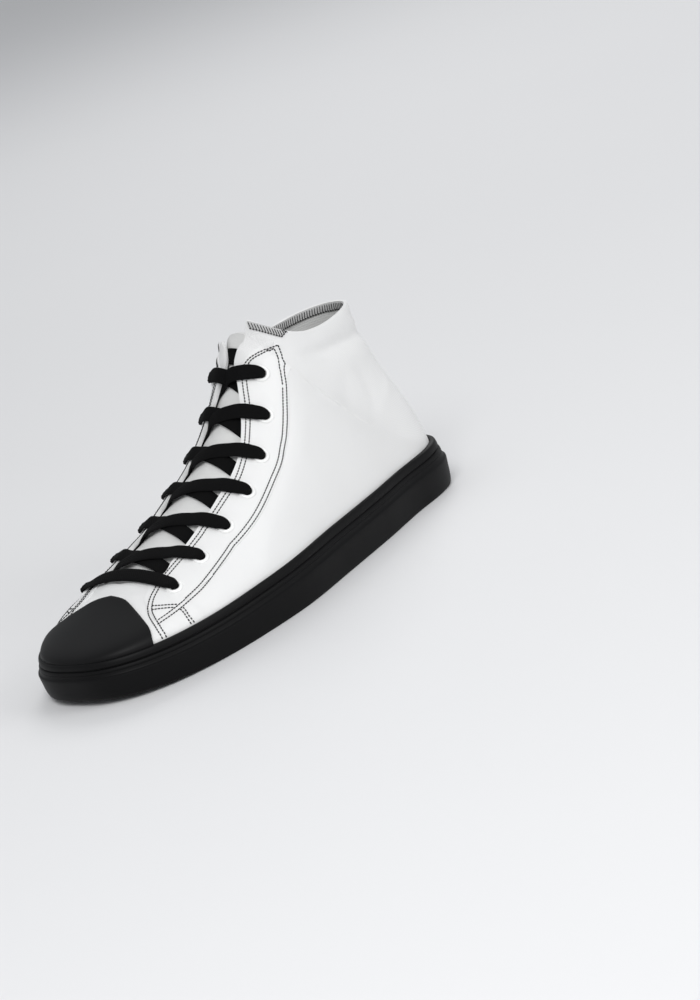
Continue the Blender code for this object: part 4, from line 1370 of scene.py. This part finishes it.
@dataclass
class Bead:
    """Small stitch of thread, modelled once and set many times."""

    faces: list[tuple[int, ...]] = field(default_factory=list)
    points: np.ndarray | None = None

    def model(self) -> None:
        """Model one stitch of unit size as a low sphere with flattened ends."""
        clear_selection()
        bpy.ops.mesh.primitive_uv_sphere_add(segments=6, ring_count=5, radius=1.0)
        ball = bpy.context.object
        self.points = np.array([tuple(v.co) for v in ball.data.vertices])
        self.points = self.points[:, [2, 0, 1]]
        self.points[:, 0] = np.sign(self.points[:, 0]) * np.abs(self.points[:, 0]) ** 0.6
        self.faces = [tuple(face.vertices) for face in ball.data.polygons]
        bpy.data.objects.remove(ball)

    def sew(
        self,
        name: str,
        middles: np.ndarray,
        along: np.ndarray,
        up: np.ndarray,
        length: float,
        radius: float,
    ) -> bpy.types.Object:
        """Set a stitch at each place.

        Args:
            name: Name of the joined piece.
            middles: Middle of each stitch.
            along: Direction of each stitch.
            up: Outward direction at each stitch.
            length: Length of a stitch.
            radius: Radius of its thread.

        Returns:
            All stitches as one piece.
        """
        if self.points is None:
            self.model()
        along = unit(along)
        over = unit(np.cross(up, along))
        rise = np.cross(along, over)
        local = self.points * np.array([length / 2, radius, radius])
        places = (
            middles[:, None, :]
            + local[None, :, 0:1] * along[:, None, :]
            + local[None, :, 1:2] * over[:, None, :]
            + local[None, :, 2:3] * rise[:, None, :]
        )
        count = len(self.points)
        faces = [
            tuple(index + count * step for index in face)
            for step in range(len(middles))
            for face in self.faces
        ]
        mesh = bpy.data.meshes.new(name)
        mesh.from_pydata(places.reshape(-1, 3).tolist(), [], faces)
        mesh.update()
        thing = bpy.data.objects.new(name, mesh)
        bpy.context.scene.collection.objects.link(thing)
        recalculate_outward(thing)
        return thing


@dataclass
class Topstitching:
    """Black double stitching on panels and vamp."""

    last: Last
    panel: Eyestay
    bead: Bead
    pitch: float = 0.00172
    length: float = 0.00146
    radius: float = 0.00038
    rise: float = 0.35
    spacing: float = 0.0023
    rear_cut: int = 3
    front: Table = Table(
        ("section", "turn"),
        (
            (11.44, 0.696), (11.29, 0.724), (11.14, 0.748), (10.94, 0.770), (10.54, 0.796),
            (9.86, 0.818), (9.42, 0.832), (9.17, 0.842), (8.90, 0.856), (8.69, 0.868),
            (8.49, 0.880), (8.29, 0.890), (8.13, 0.898), (8.00, 0.900), (7.78, 0.886),
            (7.60, 0.870), (7.43, 0.852), (7.29, 0.834), (6.68, 0.762), (5.99, 0.692),
            (5.55, 0.666), (5.12, 0.666), (4.77, 0.648), (4.45, 0.622), (4.07, 0.618),
            (3.65, 0.628), (3.23, 0.634), (2.65, 0.640), (2.35, 0.634), (2.17, 0.616),
            (2.04, 0.594), (1.90, 0.554), (1.78, 0.492), (1.62, 0.348), (1.54, 0.230),
            (1.50, 0.010),
        ),
    )
    rear: Table = Table(
        ("section", "turn"),
        (
            (11.44, 0.696), (11.35, 0.694), (11.24, 0.694), (11.06, 0.698), (10.77, 0.708),
            (9.17, 0.720), (8.71, 0.700), (8.32, 0.672), (8.10, 0.654), (7.91, 0.638),
            (7.64, 0.614), (7.34, 0.584), (7.08, 0.554), (6.83, 0.524), (6.64, 0.506),
            (6.40, 0.480), (5.91, 0.448), (5.04, 0.392), (4.21, 0.334), (3.70, 0.310),
            (3.19, 0.290), (2.74, 0.294), (2.42, 0.305), (2.00, 0.330), (1.69, 0.350),
        ),
    )
    top_row: float = 8.05
    corner: tuple[Table, ...] = (
        Table(
            ("section", "turn"),
            (
                (11.17, 0.732), (10.96, 0.758), (10.33, 0.794), (9.34, 0.820), (8.95, 0.838),
                (8.72, 0.850), (8.51, 0.862), (8.34, 0.868), (8.15, 0.870), (8.05, 0.870),
            ),
        ),
        Table(
            ("section", "turn"),
            (
                (11.17, 0.732), (11.06, 0.730), (10.90, 0.730), (10.14, 0.744), (9.14, 0.742),
                (8.69, 0.718), (8.24, 0.686), (8.05, 0.670),
            ),
        ),
    )
    bars: tuple[Table, ...] = (
        Table(("section", "turn"), ((2.14, 0.578), (2.25, 0.490), (2.47, 0.354))),
        Table(("section", "turn"), ((2.02, 0.552), (2.16, 0.466), (2.34, 0.360))),
        Table(("section", "turn"), ((2.50, 0.296), (2.46, 0.238), (2.40, 0.140), (2.41, 0.010))),
        Table(("section", "turn"), ((2.41, 0.306), (2.38, 0.244), (2.32, 0.132), (2.31, 0.010))),
    )

    def run(self, line: np.ndarray, side: Side) -> tuple[np.ndarray, np.ndarray, np.ndarray]:
        """Middles, directions and normals of the stitches along a line of rows and turns."""
        last = self.last
        rows, turns = line[:, 0], line[:, 1]
        path = last.point(last.flap(rows, turns, side), side.value * (1 - turns))
        length = run_length(path)
        count = max(2, round(length[-1] / self.pitch))
        at = (np.arange(count) + 0.5) / count * length[-1]
        rows, turns = np.interp(at, length, rows), np.interp(at, length, turns)
        sections = last.flap(rows, turns, side)
        across = side.value * (1 - turns)
        height = self.panel.height(rows, turns) + self.radius * self.rise
        middles = last.surface(sections, across, height)
        return middles, np.gradient(middles, axis=0), last.normal(sections, across)

    def build(self) -> None:
        """Sew every line on both sides."""
        thread = Yarn("black_thread", (0.002, 0.002, 0.002), (0.008, 0.008, 0.008)).make()
        for side in Side:
            runs = []
            for table, corner, shift in zip((self.front, self.rear), self.corner, (1, -1)):
                line = self.last.trail(table, 260)
                runs.append(self.run(line, side))
                runs.append(self.run(self.last.trail(corner, 60), side))
                beside = self.last.beside(line, side, shift * self.spacing)
                beside = beside[line[:, 0] < self.top_row]
                runs.append(self.run(beside if shift > 0 else beside[:-self.rear_cut], side))
            for table in self.bars:
                runs.append(self.run(self.last.trail(table, 30), side))
            middles, along, up = (np.concatenate(part) for part in zip(*runs))
            name = f"topstitching_{side.name.lower()}"
            stitches = self.bead.sew(name, middles, along, up, self.length, self.radius)
            stitches.data.materials.append(thread)
            finish_piece(stitches, (), 70)


@dataclass
class Overlock:
    """Grey overlocked bands on the front flaps and inside the collar, with dark looper thread."""

    last: Last
    bead: Bead
    band: float = 0.0042
    pitch: float = 0.0016
    thickness: float = 0.00035
    loop_radius: float = 0.00028
    border_radius: float = 0.00045
    seam_half: float = 0.0024
    wall: float = 0.0018
    outer_gap: float = 0.0001
    inner_gap: float = 0.0002
    seam_gap: float = 0.0004
    bulge: float = 0.6
    loop_height: float = 1.65
    border_height: float = 1.35
    slant: float = 0.45
    flap_start: float = 0.60
    flap_taper: float = 0.05
    flap_row: float = 11.995
    tape_row: float = 11.985
    seam_rows: tuple[float, float] = (11.80, 10.55)
    samples: int = 60

    def strip(self, name: str, lower: np.ndarray, upper: np.ndarray, normals: np.ndarray) -> None:
        """Band between two lines with slanted loops and a stitched border.

        Args:
            name: Name of the band.
            lower: Points along its lower border.
            upper: Points along its upper border.
            normals: Direction away from the cloth along it.
        """
        shares = np.linspace(0, 1, 7)
        bulge = np.sin(shares * math.pi) * self.thickness * self.bulge
        grid = (
            lower[:, None, :]
            + (upper - lower)[:, None, :] * shares[None, :, None]
            + normals[:, None, :] * bulge[None, :, None]
        )
        tape = lay_grid(f"{name}_band", grid)
        tape_normal = np.array(tape.data.polygons[len(tape.data.polygons) // 2].normal)
        if tape_normal @ normals[len(normals) // 2] < 0:
            flip(tape)
        yarn = Canvas(f"{name}_thread", (0.42, 0.42, 0.42), (0.72, 0.72, 0.71), 1500.0, 0.0003)
        tape.data.materials.append(yarn.make())
        add_wall(tape, self.thickness, True)
        finish_piece(tape)
        length = run_length(lower)
        count = max(4, round(length[-1] / self.pitch))
        at = (np.arange(count) + 0.5) / count * length[-1]
        low, high, up = (
            np.stack([np.interp(at, length, part[:, axis]) for axis in range(3)], axis=-1)
            for part in (lower, upper, normals)
        )
        along = unit(np.gradient(low, axis=0))
        loops = (low + high) / 2 + up * (self.thickness * self.loop_height)
        across = (high - low) * 0.9 + along * self.pitch * self.slant
        border = low + up * (self.thickness * self.border_height)
        dark = Yarn(f"{name}_looper", (0.006, 0.006, 0.006), (0.03, 0.03, 0.03)).make()
        width = float(np.linalg.norm(high - low, axis=1).mean())
        slanted = self.bead.sew(f"{name}_loops", loops, across, up, width * 0.94, self.loop_radius)
        edge = self.bead.sew(f"{name}_border", border, along, up, self.pitch * 0.74, self.border_radius)
        join(slanted, (edge,))
        slanted.data.materials.append(dark)
        finish_piece(slanted, (), 70)

    def build(self) -> None:
        """Build the flap bands outside and the tape inside the collar."""
        last = self.last
        for side in Side:
            turns = np.linspace(self.flap_start, last.throat_turn(last.top) * 0.995, 50)
            top_rows = np.full_like(turns, self.flap_row)
            lines = []
            for rows in (top_rows - 0.30, top_rows):
                sections = last.flap(rows, turns, side)
                lines.append((sections, side.value * (1 - turns)))
            lower = last.surface(*lines[0], self.outer_gap)
            upper = last.surface(*lines[1], self.outer_gap)
            lower = upper + unit(lower - upper) * self.band
            taper = smooth_step((turns - self.flap_start) / self.flap_taper)[:, None]
            lower = upper + (lower - upper) * (0.15 + 0.85 * taper)
            self.strip(f"flap_overlock_{side.name.lower()}", lower, upper, last.normal(*lines[1]))
        turns = np.linspace(self.flap_start, 0.0, self.samples)
        across = np.concatenate([turns - 1, (1 - turns[::-1])[1:]])
        sections = np.full_like(across, self.tape_row)
        inner = last.surface(sections, across, -self.wall - self.inner_gap)
        lower = last.surface(sections - 0.36, across, -self.wall - self.inner_gap)
        lower = inner + unit(lower - inner) * self.band
        self.strip("collar_tape", lower, inner, -last.normal(sections, across))
        self.back_seam()

    def back_seam(self) -> None:
        """Overlocked seam down the inside of the heel."""
        last = self.last
        rows = np.linspace(*self.seam_rows, self.samples)
        trial = np.linspace(0, 0.02, self.samples)
        offsets = [np.abs(last.point(row, 1 - trial) - last.point(row, 1.0))[:, 1] for row in rows]
        turns = np.array([np.interp(self.seam_half, offset, trial) for offset in offsets])
        inward = np.array([1.0, 0.0, 0.0])
        lines = [
            last.surface(rows, side.value * (1 - turns), 0.0) + inward * (self.wall + self.seam_gap)
            for side in Side
        ]
        self.strip("back_seam", lines[0], lines[1], np.broadcast_to(inward, lines[0].shape))


@dataclass
class Laces:
    """Flat black lace: a straight bar across the lowest eyelets and a crossing above each pair."""

    last: Last
    eyelets: Eyelets
    width: float = 0.0084
    thickness: float = 0.0012
    rise: float = 0.40
    panel_height: float = 0.0005
    panel_gap: float = 0.0001
    upper_wall: float = 0.0018
    tongue_gap: float = 0.0003
    under_gap: float = 0.0007
    edge_reach: float = 0.10
    climb: float = 0.13
    bunch_height: float = 0.001
    tuck_depth: float = 0.0028
    tuck_stagger: float = 0.0004
    tuck_reach: float = 0.22
    tuck_past: float = 0.06
    bar_cut: int = 7
    steps: int = 46
    ring_points: int = 28
    hook: tuple[tuple[float, float, float, float], ...] = (
        (-5.2, 0.00, 8.0, 1.25),
        (-4.0, 0.10, 7.9, 1.45),
        (-2.8, 0.35, 7.5, 1.80),
        (-1.7, 0.50, 6.9, 2.10),
        (-0.7, 0.45, 6.2, 2.30),
        (0.15, 0.10, 5.5, 2.35),
        (0.62, -0.55, 4.9, 2.30),
        (0.80, -1.40, 4.5, 2.25),
        (0.60, -2.60, 4.3, 2.20),
        (0.30, -4.20, 4.3, 2.20),
        (0.00, -5.60, 4.2, 2.00),
    )

    @property
    def over_panel(self) -> float:
        """Height of the lace's middle above the upper where it crosses a panel."""
        return self.panel_height + self.eyelets.crown + self.panel_gap + self.thickness / 2

    def ribbon(
        self, middle: np.ndarray, up: np.ndarray, widths: np.ndarray, heights: np.ndarray
    ) -> np.ndarray:
        """Rings of a ribbed flat lace along its middle line.

        Args:
            middle: Points of the middle line.
            up: Outward direction at each.
            widths: Width at each.
            heights: Thickness at each.

        Returns:
            Rings by points by 3, each ring closed on its first point.
        """
        along = unit(np.gradient(middle, axis=0))
        sideways = unit(np.cross(up, along))
        over = np.cross(along, sideways)
        angles = np.linspace(0, 2 * math.pi, self.ring_points + 1)
        wide = np.sign(np.cos(angles)) * np.abs(np.cos(angles)) ** 0.55
        high = np.sign(np.sin(angles)) * np.abs(np.sin(angles)) ** 0.75
        bunch = np.clip((heights - self.thickness) / self.bunch_height, 0, 1)[:, None]
        ribs = 1 + (0.10 + 0.16 * bunch) * np.cos(wide * 3.5 * math.pi)[None, :]
        across = wide[None, :] * widths[:, None] / 2
        lift = high[None, :] * heights[:, None] / 2 * ribs
        return (
            middle[:, None, :]
            + sideways[:, None, :] * across[:, :, None]
            + over[:, None, :] * lift[:, :, None]
        )

    def flat(
        self, middle: np.ndarray, up: np.ndarray, cut: slice, wide: float = 1.0, high: float = 1.0
    ) -> tuple[np.ndarray, ...]:
        """Stretch of even width and thickness, as shares of the lace's own."""
        count = len(middle[cut])
        return (
            middle[cut],
            up[cut],
            np.full(count, self.width * wide),
            np.full(count, self.thickness * high),
        )

    def dive(self, place: tuple[float, float], travel: np.ndarray) -> tuple[np.ndarray, ...]:
        """Last stretch of a lace over an eyelet and down its bore.

        Args:
            place: Section and across of the eyelet.
            travel: Direction in which the lace arrives.

        Returns:
            Middle points, up directions, widths and thicknesses.
        """
        normal = self.last.normal(*place)
        centre = self.last.surface(*place, self.over_panel)
        travel = unit(travel - normal * (travel @ normal))
        curve = Table(
            ("step", "ahead", "rise", "width", "height"),
            tuple((float(step), *row) for step, row in enumerate(self.hook)),
        )
        at = np.linspace(0, len(self.hook) - 1, 26)
        ahead = curve.read("step", "ahead", at) * MM
        rise = curve.read("step", "rise", at) * MM
        middle = centre + travel * ahead[:, None] + normal * rise[:, None]
        along = np.gradient(middle, axis=0)
        sideways = np.cross(normal, travel)
        up = unit(np.cross(along, sideways[None, :]))
        return middle, up, curve.read("step", "width", at) * MM, curve.read("step", "height", at) * MM

    def finish(
        self, name: str, parts: list[tuple[np.ndarray, ...]], nodes: tuple[str, ...]
    ) -> bpy.types.Object:
        """Join stretches of one lace into a closed ribbed strip."""
        middle, up, widths, heights = (np.concatenate(part) for part in zip(*parts))
        for _ in range(2):
            middle[1:-1] = middle[1:-1] * 0.5 + (middle[:-2] + middle[2:]) * 0.25
        for _ in range(3):
            up[1:-1] = up[1:-1] * 0.5 + (up[:-2] + up[2:]) * 0.25
        up = unit(up)
        strip = lay_grid(name, self.ribbon(middle, up, widths, heights))
        merge_doubles(strip)
        close_ends(strip)
        recalculate_outward(strip)
        strip.data.materials.append(self.cotton)
        finish_piece(strip, nodes, 60)
        return strip

    def crossing(
        self, name: str, start: tuple[float, float], end: tuple[float, float], lift: float
    ) -> list:
        """Stretches of a lace from under one side's edge over the tongue to the other side's eyelet."""
        last = self.last
        side = math.copysign(1, start[1])
        section = start[0] + (end[0] - start[0]) * self.rise
        edge = 1 - float(last.throat_turn(section))
        first = (section - (end[0] - start[0]) * 0.06, side * (edge + self.edge_reach))
        share = np.linspace(0, 1, self.steps)
        sections = first[0] + (end[0] - first[0]) * share
        across = first[1] + (end[1] - first[1]) * share
        edges = 1 - last.throat_turn(sections)
        on_tongue = -self.upper_wall + self.tongue_gap + self.thickness / 2 + lift * np.sin(share * math.pi)
        climb = smooth_step((side * across + edges + 0.01) / self.climb)
        climb = np.where(np.sign(across) == side, 1.0, climb)
        height = self.over_panel + (on_tongue - self.over_panel) * climb
        tucked = smooth_step((side * across - (edges - self.edge_reach)) / self.edge_reach)
        tucked = np.where(np.sign(across) == side, tucked, 0.0)
        height = height + (-self.upper_wall - self.under_gap - height) * tucked
        middle = last.point(sections, across) + last.normal(sections, across) * height[:, None]
        travel = middle[-1] - middle[-6]
        dive = self.dive(end, travel)
        gone = np.linalg.norm(middle - dive[0][0], axis=1).argmin()
        return [self.flat(middle, last.normal(sections, across), slice(gone - 1)), dive]

    def build(self) -> None:
        """Build the bar and the crossings."""
        self.cotton = Canvas(
            "black_lace",
            (0.002, 0.002, 0.002), (0.008, 0.008, 0.0085),
            threads=1300.0,
            depth=0.0002,
            strength=0.7,
            roughness=0.82,
            slub=0.6,
            sheen=0.0,
            specular=0.06,
        ).make()
        last = self.last
        outer = self.eyelets.places(Side.OUTER)
        inner = self.eyelets.places(Side.INNER)
        share = np.linspace(0, 1, self.steps)
        sections = inner[0][0] + (outer[0][0] - inner[0][0]) * share
        across = inner[0][1] + (outer[0][1] - inner[0][1]) * share
        middle = last.point(sections, across) + last.normal(sections, across) * self.over_panel
        ends = [
            self.dive(inner[0], middle[0] - middle[5]),
            self.dive(outer[0], middle[-1] - middle[-6]),
        ]
        flat = self.flat(middle, last.normal(sections, across), slice(self.bar_cut, -self.bar_cut))
        start = tuple(part[::-1].copy() for part in ends[0])
        self.finish("lace_strip_bar", [start, flat, ends[1]], ("lace_bar",))
        for number in range(self.eyelets.a_side - 1):
            node = (f"lace_crossing_{number + 1}",)
            under = self.crossing("under", outer[number], inner[number + 1], 0.0)
            self.finish(f"lace_strip_under_{number + 1}", under, node)
            over = self.crossing("over", inner[number], outer[number + 1], self.thickness * 1.15)
            self.finish(f"lace_strip_over_{number + 1}", over, node)
        for side, rows in ((Side.OUTER, (8.30, 8.85)), (Side.INNER, (8.95, 8.40))):
            self.tucked_end(side, rows)

    def tucked_end(self, side: Side, rows: tuple[float, float]) -> None:
        """End of the lace that lies hidden between flap and tongue."""
        last = self.last
        share = np.linspace(0, 1, self.steps)
        sections = rows[0] + (rows[1] - rows[0]) * share
        across = side.value * (self.tuck_reach - (self.tuck_reach + self.tuck_past) * share)
        depth = self.tuck_depth + self.tuck_stagger * side.value
        middle = last.point(sections, across) - last.normal(sections, across) * depth
        part = self.flat(middle, last.normal(sections, across), slice(None), 0.8, 0.5)
        self.finish(f"lace_end_{side.name.lower()}", [part], ())


@dataclass
class Studio:
    """Pale floor, soft lights and the camera."""

    target: tuple[float, float, float] = (0.090, 0.0, 0.060)
    azimuth: float = 43.71
    elevation: float = 14.65
    roll: float = -19.3
    distance: float = 1.8
    focal_pixels: float = 3321.7
    frame_height: float = 1000.0
    sensor: float = 36.0
    target_right: float = -99.53
    target_up: float = 25.31

    def place_camera(self) -> None:
        """Place the camera at the photograph's angle, turned until the shoe stands where it does there."""
        azimuth, elevation, roll = (math.radians(a) for a in (self.azimuth, self.elevation, self.roll))
        back = Vector((
            math.sin(azimuth) * math.cos(elevation),
            math.cos(azimuth) * math.cos(elevation),
            math.sin(elevation),
        ))
        right = Vector((0, 0, 1)).cross(back).normalized()
        up = back.cross(right)
        rolled_right = right * math.cos(roll) + up * math.sin(roll)
        rolled_up = up * math.cos(roll) - right * math.sin(roll)
        location = Vector(self.target) + back * self.distance
        aim = back + rolled_right * (self.target_right / self.focal_pixels)
        aim = (aim + rolled_up * (self.target_up / self.focal_pixels)).normalized()
        side = (rolled_right - aim * rolled_right.dot(aim)).normalized()
        top = aim.cross(side)
        matrix = Matrix((side, top, aim)).transposed().to_4x4()
        matrix.translation = location
        data = bpy.data.cameras.new("camera")
        data.sensor_fit = "VERTICAL"
        data.sensor_height = self.sensor
        data.lens = self.focal_pixels / self.frame_height * self.sensor
        data.clip_end = 50.0
        camera = bpy.data.objects.new("camera", data)
        bpy.context.scene.collection.objects.link(camera)
        camera.matrix_world = matrix
        bpy.context.scene.camera = camera

    def lay_floor(self) -> None:
        """Lay a large pale floor."""
        clear_selection()
        bpy.ops.mesh.primitive_plane_add(size=12.0, location=(0, 0, 0))
        floor = bpy.context.object
        floor.name = "floor"
        material, _, _ = patterned(
            "floor_paint",
            (SHADING.grain(), "Object", "Cloud"),
            ((0.70, 0.70, 0.71), (0.74, 0.74, 0.74)),
            {"Patch": 1.2},
            {"Roughness": 0.7},
        )
        floor.data.materials.append(material)

    def light(self, name: str, place: tuple[float, float, float], size: float, power: float) -> None:
        """Add one large soft light that looks at the shoe."""
        data = bpy.data.lights.new(name, "AREA")
        data.shape = "DISK"
        data.size = size
        data.energy = power
        lamp = bpy.data.objects.new(name, data)
        bpy.context.scene.collection.objects.link(lamp)
        lamp.location = place
        aim = Vector(place) - Vector(self.target)
        lamp.rotation_euler = aim.to_track_quat("Z", "Y").to_euler()

    def build(self) -> None:
        """Build the stage."""
        self.place_camera()
        self.lay_floor()
        self.light("key_light", (1.5, 1.1, 1.7), 1.3, 34.0)
        self.light("side_light", (-0.4, 2.2, 1.0), 1.4, 16.0)
        self.light("back_light", (-1.6, -1.0, 1.6), 1.2, 14.0)
        world = bpy.data.worlds.new("studio")
        world.use_nodes = True
        world.node_tree.nodes["Background"].inputs["Color"].default_value = (0.95, 0.97, 1.0, 1.0)
        world.node_tree.nodes["Background"].inputs["Strength"].default_value = 0.50
        bpy.context.scene.world = world
        bpy.context.scene.view_settings.view_transform = "Standard"


def main() -> None:
    """Build the stage and every piece of the shoe in order."""
    logging.basicConfig(level=logging.INFO, format="%(message)s")
    last = Last()
    Studio().build()
    CupSole(last).build()
    Insole(last).build()
    eyelets = Eyelets(last)
    upper = Upper(last, eyelets)
    upper.build()
    ToeCap(last).build()
    Tongue(last).build()
    panel = Eyestay(last, upper)
    panel.build()
    eyelets.build(panel.thickness)
    bead = Bead()
    Topstitching(last, panel, bead).build()
    Overlock(last, bead).build()
    Laces(last, eyelets, panel_height=panel.thickness).build()


if __name__ == "__main__":
    main()
